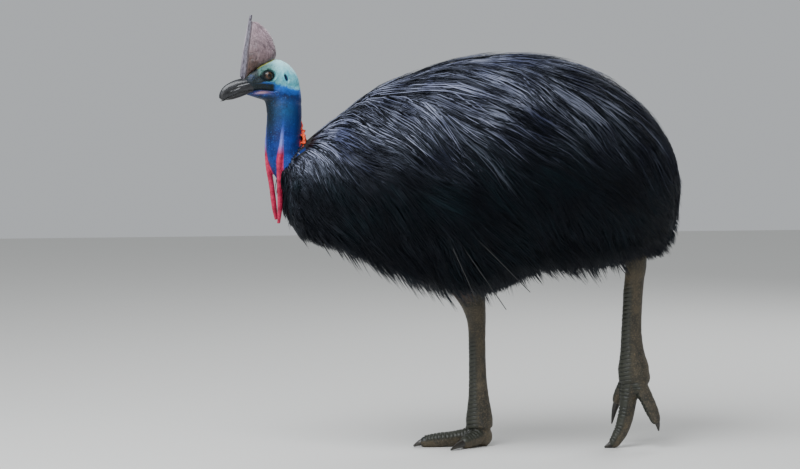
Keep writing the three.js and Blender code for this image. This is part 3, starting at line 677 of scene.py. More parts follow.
FACE = {"inner": 9, "forward": (-24, 92), "up": (-62, 26)}
forward, right, up = to_head(face_centres(head_skin)).T
on_face = (np.abs(right) > FACE["inner"]) & (forward > FACE["forward"][0]) & (forward < FACE["forward"][1])
refine(head_skin, on_face & (up > FACE["up"][0]) & (up < FACE["up"][1]))

# %% Shapes of the openings
ALMOND = {"half": 12.6, "above": 9.6, "below": 10.4}


def eye_ring(forward, up):
    """How far from the eye's middle, as an almond: 1 along the edge of the lids."""
    df, du = np.abs(forward - EYE["forward"]), up - EYE["up"]
    high = np.where(du > 0, ALMOND["above"], ALMOND["below"])
    return ((df / ALMOND["half"]) ** 1.75 + (np.abs(du) / high) ** 1.9) ** (1 / 1.8)


def ear_slit(forward, up):
    """How far from the ear's middle: 1 along the edge of the leaning slit."""
    c, s = math.cos(EAR["lean"]), math.sin(EAR["lean"])
    ef, eu = forward - EAR["forward"], up - EAR["up"]
    return np.hypot((eu * c + ef * s) / EAR["half"], (ef * c - eu * s) / EAR["width"])


# %% Pressing the face
LID = {"stand": 1.3, "edge": (0.8, 1.16, 0.1), "bends": (1.15, 1.75), "opening": (0.93, 1.02), "sunk": 2.4}
LID_FOLDS = [(-1.3, 1.5, 0.1), (0.9, 1.75, 0.13)]  # depth, distance round the eye, width
LID_WRINKLES = {"depth": 0.35, "at": 2.1, "width": 0.6, "often": 22}
EAR_PIT, EAR_RIM = -6.0, (1.3, 1.55, 0.35)
LIPS = [(-3.0, 0.0, 1.5), (1.1, 4.0, 2.0), (1.3, -4.2, 2.4)]  # depth, height over the mouth line, width
HOLLOWS = [(2.2, 68, 12, -8, 9), (1.2, 34, 18, -25, 5)]  # depth, forward, half-length, up, half-height


def press_face(points):
    """Presses the openings of the face into the skin and raises their rims."""
    forward, right, up = to_head(points).T
    side, out = np.sign(right), np.abs(right)
    near = (out > FACE["inner"]) & (up > -58) & (forward > -30)
    # the eye: a lid that bends in to the ball, folds and fine wrinkles outside it, and a sunk opening
    ring = eye_ring(forward, up)
    df, du = forward - EYE["forward"], up - EYE["up"]
    ball = EYE["out"] + np.sqrt(np.maximum(EYE["radius"] ** 2 - df ** 2 - du ** 2, 4.0))
    lid = ball + LID["stand"] + LID["edge"][0] * bump_of(ring, *LID["edge"][1:])
    made = out + (lid - out) * (1 - smoothstep(ring, *LID["bends"]))
    for depth, at, width in LID_FOLDS:
        made = made + depth * bump_of(ring, at, width)
    made = made + (np.minimum(made, ball - LID["sunk"]) - made) * (1 - smoothstep(ring, *LID["opening"]))
    waves = np.sin(ring * LID_WRINKLES["often"] + 2 * np.sin(4 * np.arctan2(du, df)))
    made = made + LID_WRINKLES["depth"] * bump_of(ring, LID_WRINKLES["at"], LID_WRINKLES["width"]) * waves
    # the ear: a leaning slit with a rim
    slit = ear_slit(forward, up)
    made = made + EAR_PIT * (1 - smoothstep(slit, 0.6, 1.15)) + EAR_RIM[0] * bump_of(slit, *EAR_RIM[1:])
    # the mouth: a groove from the corner to the bill, with a soft lip above and below
    gap = up - mouth_at(forward)
    lips = sum(depth * bump_of(gap, at, width) for depth, at, width in LIPS)
    made = made + smoothstep(forward, 14, 24) * lips
    for depth, ahead, long, high, tall in HOLLOWS:
        made = made - depth * bump_of(forward, ahead, long) * bump_of(up, high, tall)
    moved = from_head(np.stack([forward, side * made, up], axis=1))
    return np.where(near[:, None], moved, points)


points = read_points(head_skin)
write_points(head_skin, press_face(points))
print("face pressed")

# %% [markdown]
# ## Legs, and their plates
# The shank is a long cone, the foot a pad with three thick toes. They are limbs again, fused with coarser
# cells than the head, because their forms are larger. Down the front of the shin and over each toe lie
# horny plates, each about a centimetre long. They could be modelled one by one. Pressing evenly spaced
# grooves across the skin where it faces forwards or up gives the same rows of plates and follows every
# bend.

# %% Legs and feet
leg_parts = []
for side in ("right", "left"):
    leg_parts.append(limb("leg_" + side, LEGS[side], sides=22, rings=26))
    at, half = PADS[side]
    leg_parts.append(blob("pad_" + side, at, half))
    for toe, rows in TOES[side].items():
        leg_parts.append(limb("toe_" + toe, rows, sides=16, rings=10, across=across_toe(rows)))
        tip, size = np.array(rows[-1][:3], float), rows[-1][3]
        leg_parts.append(blob("toe_end", tip, (size, size, size * 1.05)))
leg_skin = fuse("leg_skin", leg_parts, voxel=3.6, passes=3)
print("legs:", len(leg_skin.data.polygons), "faces")

# %% Scutes: broad plates down the front of the shin and over each toe
SCUTES = {"shin": 11.0, "toe": 9.5, "rise": 1.7, "groove": 1.7, "knobs": 0.6, "knob_size": 13.0}


def plate_masks(points, normals):
    """How much each point lies on a plate, and in a groove between two."""
    plates, grooves = np.zeros(len(points)), np.zeros(len(points))

    def lay(chosen, strong, run, spacing):
        """Marks a row of plates, spacing mm long, over the chosen points."""
        phase = np.abs(2 * np.mod(run / spacing, 1.0) - 1)
        plates[chosen] = np.maximum(plates[chosen], strong)
        grooves[chosen] = np.maximum(grooves[chosen], strong * smoothstep(phase, 0.72, 0.98))

    for side in ("right", "left"):
        rows = np.array(LEGS[side], float)
        hock, ankle = rows[4, 2], rows[-1, 2]
        on_leg = (np.abs(points[:, 1] - rows[-1, 1]) < 60) & (np.abs(points[:, 0] - rows[6, 0]) < 90)
        on_leg &= (points[:, 2] > ankle - 20) & (points[:, 2] < hock)
        chosen = np.where(on_leg)[0]
        front = smoothstep(-normals[chosen, 0], 0.1, 0.45)
        shin = smoothstep(hock - points[chosen, 2], 30, 80)
        lean = points[chosen, 2] - 0.25 * np.abs(points[chosen, 1] - rows[-1, 1])
        lay(chosen, front * shin, lean, SCUTES["shin"])
        for rows in TOES[side].values():
            rows = np.array(rows, float)
            length = np.linalg.norm(np.diff(rows[:, :3], axis=0), axis=1).sum()
            chosen = np.where(np.linalg.norm(points - rows[len(rows) // 2, :3], axis=1) < length * 0.75)[0]
            share, spot, gap = nearest(rows, points[chosen], samples=80)
            path = unit(along(rows, share + 0.02)[:, :3] - along(rows, share - 0.02)[:, :3])
            across = unit(across_toe(rows))
            top = np.cross(path, across)
            top = top * np.sign(top @ np.array([-1.0, 0, 1.2]))[:, None]
            facing = smoothstep((normals[chosen] * top).sum(axis=1), 0.1, 0.45)
            strong = facing * smoothstep(share, 0.10, 0.2) * (gap < spot[:, 3] * 1.4)
            lay(chosen, strong, share * length, SCUTES["toe"])
    return plates, grooves


start_plates, _ = plate_masks(face_centres(leg_skin), np.array([p.normal for p in leg_skin.data.polygons]))
refine(leg_skin, start_plates > 0.3)
points, normals = read_points(leg_skin), read_normals(leg_skin)
plates, grooves = plate_masks(points, normals)
knobs = ripple(points, SCUTES["knob_size"]) * SCUTES["knobs"]
points = points + normals * (knobs + SCUTES["rise"] * (plates - SCUTES["groove"] * grooves))[:, None]
points[:, 2] = np.maximum(points[:, 2], 0.0)
write_points(leg_skin, points)
write_attribute(leg_skin, "plate", plates)
write_attribute(leg_skin, "groove", grooves)
print("scute points:", int((plates > 0.5).sum()))

# %% [markdown]
# ## The trunk, and the union of all skin
# The trunk only carries the coat, so a stretched sphere with few faces is enough. Voxels over the whole
# bird would cost the face its lids or the file its size. A Boolean union instead keeps every face of head
# and legs as it is, and only cuts the trunk open where they enter it.

# %% Trunk and union
start_clean()
bpy.ops.mesh.primitive_uv_sphere_add(segments=48, ring_count=40, radius=1.0)
trunk = bpy.context.object
trunk.name = "trunk"
ball = read_points(trunk) * MM
polar = np.arccos(np.clip(ball[:, 2], -1, 1))
reach = (RUMP_X - BREAST_X) / 2
from_back = np.arctan2(ball[:, 0], ball[:, 1])
points = core_point((BREAST_X + RUMP_X) / 2 - reach * np.cos(polar), from_back, sunk=0.015)
ends = np.abs(ball[:, 2]) > 0.9999
points[ends, 1] = 0.0
points[ends, 2] = section_at(points[ends, 0])[0]
write_points(trunk, points)
bpy.ops.object.mode_set(mode="EDIT")
bpy.ops.mesh.select_all(action="SELECT")
bpy.ops.mesh.normals_make_consistent(inside=False)
bpy.ops.object.mode_set(mode="OBJECT")
skin = head_skin
skin.name = "skin"
for other in (trunk, leg_skin):
    apply_modifier(skin, "BOOLEAN", operation="UNION", solver="MANIFOLD", object=other)
    bpy.data.objects.remove(other)
print("skin:", len(skin.data.vertices), "points,", len(skin.data.polygons), "faces",
      [a.name for a in skin.data.attributes])


# %% [markdown]
# ## Where each kind of skin lies
# A colour border on the bird follows its anatomy: the crown ends below the eye, soot lies round the lids,
# the lobes are crimson. Painting weights by hand would do, but rules that read a point's place in the
# head's frame stay true when a width changes. Each rule gives a number from 0 to 1, stored at the points.

# %% Masks of the head
points = read_points(skin)
forward, right, up = to_head(points).T
head_side = (np.abs(right) > 6) & (up > -75)
above_edge = up + 23 - 0.21 * (forward - 20) - 0.5 * np.maximum(forward - 62, 0)
line = mouth_at(forward)
ring = eye_ring(forward, up)
lores = np.hypot((forward - 62) / 30, (up + 9 + 0.25 * (forward - 62)) / 13)
dark = np.maximum(1 - smoothstep(ring, 1.15, 1.65), 0.9 * (1 - smoothstep(lores, 0.55, 1.15)))
above_mouth = smoothstep(forward, 16, 30) * (1 - smoothstep(np.abs(up - line - 8), 6, 13))
at_bill = smoothstep(forward, 56, 70) * smoothstep(up, -40, -30)
dark = np.maximum(np.maximum(dark, 0.85 * above_mouth), 0.8 * at_bill) * head_side
at_gape = bump_of(forward, 54, 15) * bump_of(up, line - 6.5 - 0.12 * (forward - 50), 3.0)
for name, values in {
    "above_edge": above_edge,
    "height": points[:, 2],
    "dark": dark,
    "ear": (1 - smoothstep(ear_slit(forward, up), 0.7, 1.25)) * (forward < 10) * head_side,
    "gape": at_gape * (np.abs(right) > 10),
    "before_eye": smoothstep(forward, 4, 42) * (1 - 0.35 * smoothstep(up, 24, 36)),
    "throat": smoothstep(forward, 6, 34) * smoothstep(-up, 44, 62) * (1 - smoothstep(-up, 110, 190)),
    "nape": smoothstep(-forward, 8, 48) * smoothstep(-up, 0, 60),
}.items():
    write_attribute(skin, name, values)
print("masks of the head for", len(points), "points")

# %% Masks of the wattles and the nape's folds
AROUND_WATTLES = {"at": [-465, -8, 720], "reach": 190}
AROUND_FOLDS = {"x": (-430, -345), "z": (745, 892)}
x, z = points[:, 0], points[:, 2]
on_wattle = np.zeros(len(points))
for rows in WATTLES.values():
    near = np.where(np.linalg.norm(points - AROUND_WATTLES["at"], axis=1) < AROUND_WATTLES["reach"])[0]
    share, spot, gap = nearest(rows, points[near])
    inside = 1 - smoothstep(gap, spot[:, 3] + 0.4, spot[:, 3] + 2.4)
    on_wattle[near] = np.maximum(on_wattle[near], inside)
on_fold = np.zeros(len(points))
beside = (x > AROUND_FOLDS["x"][0]) & (x < AROUND_FOLDS["x"][1])
near = np.where(beside & (z > AROUND_FOLDS["z"][0]) & (z < AROUND_FOLDS["z"][1]))[0]
away = np.linalg.norm(points[near, None] - caruncle_places[None, :, :3], axis=2) - 1.2 * caruncle_places[:, 3]
on_fold[near] = 1 - smoothstep(away.min(axis=1), 0.5, 1.8)
low_nape = smoothstep(x, -407, -399) * smoothstep(-z, -818, -802) * (z > 752)
on_fold = np.maximum(on_fold, low_nape * (depth_at(points) > 1.0))
write_attribute(skin, "wattle", on_wattle)
write_attribute(skin, "fold", on_fold)
print("points on wattles and folds:", int((on_wattle > 0.5).sum()), int((on_fold > 0.5).sum()))

# %% Legs, trunk, and the kind of each face
BARE, SCALED, COVERED = 0, 1, 2
from_leg = np.full(len(points), 1e3)
thigh = np.zeros(len(points))
for rows in LEGS.values():
    hock = rows[3][2]
    near = np.where(z < hock + 140)[0]
    near = near[np.abs(x[near] - rows[-1][0]) < 190]
    share, spot, gap = nearest(rows, points[near], samples=80)
    from_leg[near] = np.minimum(from_leg[near], gap - spot[:, 4])
    front = smoothstep(spot[:, 0] - x[near], -10, 12)
    thigh[near] = np.maximum(thigh[near], front * smoothstep(z[near], hock - 20, hock + 40))
write_attribute(skin, "thigh", thigh)
is_leg = (z < 600) & (from_leg < 22) | (z < 300)
is_trunk = ~is_leg & (depth_at(points) < 0.99)
beside_neck = np.where(is_trunk & (z > 780) & (x < -330))[0]
_, spot, gap = nearest(NECK, points[beside_neck])
is_trunk[beside_neck] = gap > spot[:, 4] + 1.5
is_trunk |= (x > -396) & (z < 806) & (on_fold < 0.2) & ~is_leg
kinds = np.where(is_leg, SCALED, np.where(is_trunk, COVERED, BARE))
first_corner = np.empty(len(skin.data.polygons), np.int32)
skin.data.polygons.foreach_get("loop_start", first_corner)
corners = np.empty(len(skin.data.loops), np.int32)
skin.data.loops.foreach_get("vertex_index", corners)
skin_kind = kinds[corners[first_corner]]
print("faces that are bare, scaled, covered:", np.bincount(skin_kind))


# %% [markdown]
# ## Finishes of the skin
# Bare skin on a cassowary is thin, slightly oily and set with papillae. It could be painted as a picture
# on an unwrap, but masks stored at the skin's own points need no picture and keep every border as sharp as
# the mesh. The colours follow the bird: a turquoise crown that ends along a ragged line below the eye,
# royal blue beneath it, near black round the eye and along the mouth, a dull pink gape, crimson wattles
# that turn lilac where they leave the neck, and orange folds. The legs wear horny plates in front and small
# scales at the sides.

# %% Bare skin
def skin_material():
    """Bare papillose skin: half dull, so it glints in points along its wrinkles and not in one streak."""
    material, tree, shader = new_material("bare wrinkled skin")
    place = add(tree, "TexCoord", out="Object")
    height, above_edge, before_eye, throat, nape, rim, dark, ear, gape, wattle, fold = read_masks(
        tree, "height", "above_edge", "before_eye", "throat", "nape",
        "rim", "dark", "ear", "gape", "wattle", "fold")
    # blotches 14 mm wide within patches of 38 mm; papillae are about 1.5 mm apart and are drawn at 4.3 mm, and
    # the grain between them at 3.3 mm, so that both show
    mottle, patches, fine = [
        add(tree, "TexNoise", {"Vector": place, "Scale": per_metre(size), "Detail": steps, "Roughness": rough})
        for size, steps, rough in ((14.2857, 4.0, 0.65), (38.4615, 3.0, 0.6), (3.33333, 3.0, 0.6))]
    cells = add(tree, "TexVoronoi", {"Vector": place, "Scale": per_metre(4.34783)}, out="Distance")
    dots = add(tree, "MapRange", {0: cells, 1: 0.32, 2: 0.08})
    uneven = add(tree, "MapRange", {0: fine, 1: 0.4, 2: 0.65})
    papillae = add(tree, "Math", {0: dots, 1: uneven}, operation="MULTIPLY")
    # blue down the neck, by height: navy under the jaw, teal, then royal blue, and dark at throat and nape
    navy = paint(tree, "#010C30", (mottle, 0.35, 0.68, "#032268"), (papillae, "#2E86D0"))
    teal = paint(tree, "#052B4A", (mottle, 0.3, 0.7, "#0A4A80"))
    royal = paint(tree, "#011650", (patches, 0.36, 0.64, "#053488"), (papillae, "#2674CC"))
    shaded = paint(tree, "#031A2A", (papillae, "#174E76"))
    blue = paint(tree, navy, (height, 935.0, 890.0, teal), (height, 885.0, 835.0, royal),
                 (throat, shaded), (nape, "#06225A"))
    # the crown: turquoise, with a painted highlight, nearly white, where it faces the sky, and olive before
    # the eye; its edge wanders 11 mm
    shift = add(tree, "Math", {0: mottle, 1: 22.0, 2: -11.0}, operation="MULTIPLY_ADD")
    edge = add(tree, "Math", {0: above_edge, 1: shift}, operation="ADD")
    olive = paint(tree, "#1C3F3A", (mottle, 0.3, 0.7, "#57807A"))
    crown = paint(tree, "#3A9DB2", (mottle, 0.3, 0.7, "#86CBD3"), (edge, 34.0, 62.0, "#A9DCE1"),
                  (before_eye, olive))
    # near black round the eye, before it, along the mouth and at the bill, mottled by noise
    near_black_mask = add(tree, "Math", {0: mottle, 1: 0.6, 2: dark}, operation="MULTIPLY_ADD")
    near_black = paint(tree, "#081519", (papillae, "#1D4650"))
    crimson = paint(tree, "#8E1534", (mottle, 0.35, 0.65, "#C22F55"))
    lilac = paint(tree, "#123E8E", (height, 850.0, 806.0, "#6A72BE"))
    lobe = paint(tree, lilac, (height, 804.0, 776.0, crimson))
    orange = paint(tree, "#C42C10", (mottle, "#F86A38"))
    # the ear's opening is painted dark navy, a painted shade in its pit
    colour = paint(
        tree, blue, (edge, -22.0, -3.0, "#0A57AE"), (edge, -3.0, 5.0, crown), (rim, "#A9AE4E"),
        (near_black_mask, 0.45, 1.1, near_black), (ear, "#0A1E48"), (gape, "#A9838F"), (wattle, lobe), (fold, orange))
    bumps = add(tree, "Math", {0: cells, 1: -1.0, 2: fine}, operation="MULTIPLY_ADD")
    surface(tree, shader, colour, 0.5, bumps, strength=0.55, depth=1.1)
    shader.inputs["Specular IOR Level"].default_value = 0.3
    return material


# %% Scaled skin of the legs, and the skin under the coat
def leg_material():
    """Horny plates and scales: dull olive brown, dark in the seams, with a bare warm brown shin."""
    material, tree, shader = new_material("scaled leg skin")
    place = add(tree, "TexCoord", out="Object")
    plate, groove, thigh = read_masks(tree, "plate", "groove", "thigh")
    # side scales 3.3 mm wide and a third taller, in stains of 62 mm, with a grain of 3.8 mm
    squeezed = add(tree, "Mapping", {"Vector": place, "Scale": (1.0, 1.0, 0.75)})
    links = {"Vector": squeezed, "Scale": per_metre(3.33333)}
    scales = add(tree, "TexVoronoi", links, feature="DISTANCE_TO_EDGE")
    stains = add(tree, "TexNoise", {"Vector": place, "Scale": per_metre(62.5), "Detail": 5.0, "Roughness": 0.7})
    fine = add(tree, "TexNoise", {"Vector": place, "Scale": per_metre(3.84615), "Detail": 4.0})
    seams = add(tree, "MapRange", {0: scales, 1: 0.09, 2: 0.0, 4: 0.6})
    horny = paint(tree, "#12160F", (stains, "#35362A"))
    warm = paint(tree, "#46291B", (fine, "#8C553C"))
    colour = paint(
        tree, "#1E1D15", (stains, 0.38, 0.66, "#544A37"), (fine, 0.48, 0.75, "#665943"), (seams, "#1B1C17"),
        (plate, horny), (groove, "#0E120E"), (thigh, warm))
    domes = add(tree, "MapRange", {0: scales, 1: 0.0, 2: 0.12})
    flat = add(tree, "Math", {0: domes, 1: plate}, operation="MAXIMUM")
    relief = add(tree, "Math", {0: fine, 1: 0.35, 2: flat}, operation="MULTIPLY_ADD")
    surface(tree, shader, colour, 0.5, relief, strength=0.7, depth=0.9)
    return material


def body_material():
    """Skin under the coat: matt and near black, a painted shade so that gaps between feathers read as depth."""
    material, tree, shader = new_material("dark body skin")
    place = add(tree, "TexCoord", out="Object")
    # goose-flesh of 4.3 mm
    pores = add(tree, "TexNoise", {"Vector": place, "Scale": per_metre(4.34783), "Detail": 3.0})
    colour = paint(tree, "#030405", (pores, 0.35, 0.65, "#08090B"))
    surface(tree, shader, colour, 0.9, pores, strength=0.4, depth=0.8)
    return material


# %% The skin takes its finishes
skin.data.materials.clear()
FLESH = ["head", "neck", "wattle_left", "wattle_right", "nape_caruncles", "torso", "rump"]
FLESH += [part + side for part in ("shank_", "tarsus_", "foot_") for side in ("left", "right")]
finish(skin, "neck_skin", skin_material(), leg_material(), body_material(), stands_for=FLESH)
skin.data.polygons.foreach_set("material_index", skin_kind.astype(np.int32))
print("skin done, in place of", len(FLESH), "solids")


# %% [markdown]
# ## The bill
# The bill is two horny sheaths that meet along the mouth. It could be one form with a line drawn on it, but
# then no shadow would lie between the halves. Both are made from one limb, whose points are held above or
# below the mouth line. The nostril and the long groove it lies in are pressed into the upper half.

# %% Bill
BILL = [
    [78, -25, 21.5, 22], [95, -27, 19.5, 22], [116, -33, 15, 23], [138, -42, 11, 20.5],
    [151, -51, 8, 14.5], [158, -60, 5, 7],
]
SHEATH = {"gap": 0.2, "lower_width": 0.92, "ridge": ([78, 116, 151], [-12, -22, -46])}
NOSTRIL = {"forward": 122, "up": -32.5, "lean": 0.42, "half": 10, "width": 2.4, "depth": 2.6}


def horn_material(name, low, high, roughness, grain, stretch=(1.0, 1.0, 1.0)):
    """Polished horn: hard highlights over streaks of two tones, grain mm wide, with fine scratches."""
    material, tree, shader = new_material(name)
    place = add(tree, "Mapping", {"Vector": add(tree, "TexCoord", out="Object"), "Scale": stretch})
    links = {"Vector": place, "Scale": per_metre(grain), "Detail": 5.0, "Roughness": 0.6}
    streaks = add(tree, "TexNoise", links)
    scratches = add(tree, "TexNoise", {"Vector": place, "Scale": per_metre(grain / 5), "Detail": 4.0})
    colour = paint(tree, low, (streaks, 0.35, 0.68, high))
    surface(tree, shader, colour, roughness, scratches, strength=0.35, depth=0.5)
    return material


def shape_bill(points, sign):
    """Cuts the bill along the mouth line, and presses the nostrils and the groove they lie in."""
    line = mouth_at(points[:, 0])
    if sign > 0:
        points[:, 2] = np.maximum(points[:, 2], line + SHEATH["gap"])
        out, side = np.abs(points[:, 1]), np.sign(points[:, 1])
        ridge = np.interp(points[:, 0], *SHEATH["ridge"])
        ends = smoothstep(points[:, 0], 84, 92) * (1 - smoothstep(points[:, 0], 134, 146))
        out = out - 1.3 * bump_of(points[:, 2], ridge - 2, 2.2) * ends
        df, du = points[:, 0] - NOSTRIL["forward"], points[:, 2] - NOSTRIL["up"]
        c, s = math.cos(NOSTRIL["lean"]), math.sin(NOSTRIL["lean"])
        slit = np.hypot((df * c - du * s) / NOSTRIL["half"], (du * c + df * s) / NOSTRIL["width"])
        out = out - NOSTRIL["depth"] * (1 - smoothstep(slit, 0.5, 1.3))
        # the cutting edge stands a little proud
        out = out + 0.7 * bump_of(points[:, 2], line + 1.6, 1.6)
        points[:, 1] = side * np.maximum(out, 0)
    else:
        points[:, 2] = np.minimum(points[:, 2], line - SHEATH["gap"])
        points[:, 1] *= SHEATH["lower_width"]
    return points


horn = horn_material("bill horn", "#0D0E10", "#2A2B2F", roughness=0.3, grain=18.1818, stretch=(1.0, 1.0, 2.2))
for name, sign in (("upper_bill", 1), ("lower_bill", -1)):
    bill = limb(name, head_rows(BILL), sides=28, rings=22, across=HEAD_ACROSS, power=2.1)
    points = to_head(read_points(bill))
    line = mouth_at(points[:, 0])
    points[:, 2] = (np.maximum if sign > 0 else np.minimum)(points[:, 2], line + sign * SHEATH["gap"])
    write_points(bill, from_head(points))
    bill = fuse(name, [bill], voxel=0.9, passes=1)
    write_points(bill, from_head(shape_bill(to_head(read_points(bill)), sign)))
    finish(bill, "bill", horn, stands_for=[name])
    print(name, len(bill.data.polygons), "faces")

# %% [markdown]
# ## The casque
# The helmet is a high thin blade of keratin over spongy bone, with a separate hard keel down its front. It
# could be cut from a bent plate, but its flanks bulge at the base and thin out upwards, so it is a limb with
# pinched sections, fused with a second slim limb for the keel. Old casques are dented, creased and cracked:
# noise gives the dents, and the places where a noise passes through zero give thin winding lines.

# %% Casque
CASQUE = [
    [97, -10, 8, 8], [93, 3, 13, 12.5], [82, 19, 19, 23], [63, 36, 24, 41], [55, 50, 24, 46],
    [54.5, 74, 20, 42], [57.5, 105, 13.5, 33.5], [64, 125, 9.5, 23], [72, 139, 6, 12],
]
KEEL = [
    [101, -2, 7, 7], [99, 25, 6.5, 6.5], [95, 60, 5.5, 6], [87, 104, 4.5, 5.5], [81, 138, 3.8, 4.5],
    [77, 156, 3, 3.5],
]
KEEL_LINE = np.array(KEEL, float)
casque = fuse("casque", [
    limb("blade", head_rows(CASQUE), sides=32, rings=20, across=HEAD_ACROSS, level=True, power=1.8),
    limb("keel", head_rows(KEEL), sides=16, rings=16, across=HEAD_ACROSS, level=True),
], voxel=1.3, passes=2)
points, normals = read_points(casque), read_normals(casque)
forward, right, up = to_head(points).T
behind_keel = np.interp(up, KEEL_LINE[:, 1], KEEL_LINE[:, 0]) - forward
seam = bump_of(behind_keel, 5.5, 1.6) * (np.abs(right) > 1.5)
flank = smoothstep(behind_keel, 6, 13)
WEAR = {"wrinkle": (17.0, 0.0), "crack": (24.0, 5.0), "dent": (34.0, 9.0), "crease": (13.0, 3.0)}
upright = np.stack([forward, right, up * 0.8], axis=1)
slant = np.stack([(forward + 0.8 * up) * 0.22, right, up - 0.8 * forward], axis=1)
wrinkle = np.abs(ripple(upright, *WEAR["wrinkle"])) ** 0.7
cracks = 0.6 * bump_of(ripple(upright, *WEAR["crack"]), 0, 0.045) * smoothstep(up, 40, 80)
dents = ripple(upright, *WEAR["dent"])
creases = bump_of(ripple(slant, *WEAR["crease"]), 0, 0.10) * smoothstep(up, 15, 60)
push = flank * (1.1 * wrinkle + 1.8 * dents - 0.9 * cracks - 0.9 * creases - 1.0) - 1.3 * seam
write_points(casque, points + normals * push[:, None])
write_attribute(casque, "seam", np.maximum(seam, np.maximum(0.7 * cracks, 0.5 * creases) * flank))
write_attribute(casque, "up", up - 0.45 * (forward - 60))
write_attribute(casque, "keel", 1 - smoothstep(behind_keel, 3, 5))
write_attribute(casque, "worn", smoothstep(-behind_keel, 3.0, 6.0) * smoothstep(up, -20, 150))


# %% Keratin of the casque
def casque_material():
    """Keratin over bone: half dull, brown at the base, grey lilac above, the dark keel worn pale in front."""
    material, tree, shader = new_material("casque keratin")
    keel, worn, seam, up = read_masks(tree, "keel", "worn", "seam", "up")
    # clouds 24 mm wide and scratches of 4 mm, both drawn out to twice their width along the growth
    tall = add(tree, "Mapping", {"Vector": add(tree, "TexCoord", out="Object"), "Scale": (1.0, 1.0, 0.45)})
    links = {"Vector": tall, "Scale": per_metre(23.8095), "Detail": 6.0, "Roughness": 0.65}
    clouds = add(tree, "TexNoise", links)
    scratches = add(tree, "TexNoise", {"Vector": tall, "Scale": per_metre(4.16667), "Detail": 5.0})
    shift = add(tree, "Math", {0: clouds, 1: 90.0, 2: -45.0}, operation="MULTIPLY_ADD")
    level = add(tree, "Math", {0: up, 1: shift}, operation="ADD")
    brown = paint(tree, "#2C1E1A", (scratches, 0.35, 0.65, "#4C3731"))
    grey = paint(tree, "#7D6870", (scratches, 0.25, 0.75, "#A8949C"))
    slate = paint(tree, "#35323A", (scratches, 0.35, 0.65, "#6B6672"))
    colour = paint(tree, brown, (level, 24.0, 122.0, grey), (keel, slate), (worn, "#BDB4BC"), (seam, "#3A3136"))
    surface(tree, shader, colour, 0.42, scratches, strength=0.4, depth=0.7)
    return material


finish(casque, "casque", casque_material(), stands_for=["casque"])
print("casque:", len(casque.data.polygons), "faces")

# %% The yellow-green rim of skin round the casque
CASQUE_FOOT = {"at": [60, 0, 20], "reach": 75}
points = read_points(skin)
near = np.where(np.linalg.norm(points - from_head([CASQUE_FOOT["at"]])[0], axis=1) < CASQUE_FOOT["reach"])[0]
rim = np.zeros(len(points))
for i in near:
    found, spot, _, _ = casque.closest_point_on_mesh(Vector(points[i] * MM))
    rim[i] = 1 - smoothstep((spot - Vector(points[i] * MM)).length / MM, 1.2, 4.2)
write_attribute(skin, "rim", rim)
print("rim points:", int((rim > 0.5).sum()))

# %% [markdown]
# ## Eyes
# A bird's eye is a ball with a clear dome over the iris. A picture of an iris on a ball would need an image.
# Here each point stores how far it lies from the line of sight, and the finish turns that into pupil, iris
# and rim, while a slight bulge stands in for the dome and catches the light.

# %% Eyes: brown iris, round pupil, a slight bulge of the cornea
CORNEA = {"rise": 0.9, "width": 5.5}


def eye_material():
    """A wet eyeball: a clear coat over a brown iris with fine fibres, so one small sharp glint shows."""
    material, tree, shader = new_material("wet eye")
    away, = read_masks(tree, "from_axis")
    # the fibres of the iris are drawn 1.7 mm wide, several times the real ones, so that they show
    place = add(tree, "TexCoord", out="Object")
    fibres = add(tree, "TexNoise", {"Vector": place, "Scale": per_metre(1.66667)})
    colour = paint(tree, "#1E1208", (fibres, 0.4, 0.62, "#4A2E12"), (away, 8.2, 9.2, "#0A0807"),
                   (away, 5.2, 4.6, "#020202"))
    surface(tree, shader, colour, 0.3)
    shader.inputs["Specular IOR Level"].default_value = 0.2
    shader.inputs["Coat Weight"].default_value = 0.45
    shader.inputs["Coat Roughness"].default_value = 0.03
    return material


wet = eye_material()
BEHIND = 20  # beyond the rim of the iris
for name, sign in (("eye_left", -1), ("eye_right", 1)):
    centre = from_head([[EYE["forward"], sign * EYE["out"], EYE["up"]]])[0]
    axis = from_head([[0, sign, 0]])[0] - HEAD_AT
    tilt = Vector(axis).to_track_quat("Z", "Y").to_euler()
    ball = blob(name, centre, (EYE["radius"],) * 3, turn=tilt, segments=40, rings=28)
    start_clean()
    ball.select_set(True)
    bpy.ops.object.transform_apply(location=True, rotation=True, scale=True)
    bpy.ops.object.shade_smooth()
    points = read_points(ball)
    high = (points - centre) @ axis
    from_axis = np.linalg.norm(points - centre - high[:, None] * axis, axis=1)
    from_axis = np.where(high > 0, from_axis, BEHIND)
    bulge = CORNEA["rise"] * bump_of(from_axis, 0, CORNEA["width"])
    write_points(ball, points + bulge[:, None] * axis)
    write_attribute(ball, "from_axis", from_axis)
    finish(ball, "eye", wet, stands_for=[name])
print("eyes done")

# %% [markdown]
# ## Claws
# Three claws a foot are hollow horn that grows from the toe's end. The inner one is a long straight dagger,
# the others are short and worn by walking. Each is a limb of its own that starts inside the toe, so that it
# looks grown in, and whatever would go below the floor is pressed flat onto it.

# %% Claws
nail = horn_material("claw horn", "#161513", "#37332D", roughness=0.3, grain=11.1111)
for side, toes in CLAWS.items():
    for toe, rows in toes.items():
        name = "claw_" + side + "_" + toe
        claw = limb(name, rows, sides=18, rings=14, across=across_toe(TOES[side][toe]))
        points = read_points(claw)
        points[:, 2] = np.maximum(points[:, 2], 0)
        write_points(claw, points)
        start_clean()
        claw.select_set(True)
        bpy.ops.object.shade_smooth()
        finish(claw, "claw", nail, stands_for=[name])
print("claws done")

# %% [markdown]
# ## Quills of the wings
# A cassowary's wing is a stub with a few bare quills, like knitting needles that curve over the flank. They
# could be curves with a thickness, but a limb is a mesh from the start and tapers where it should. Each
# starts at the stub under the coat, follows the body at growing depth, and clears the feathers at its tip.

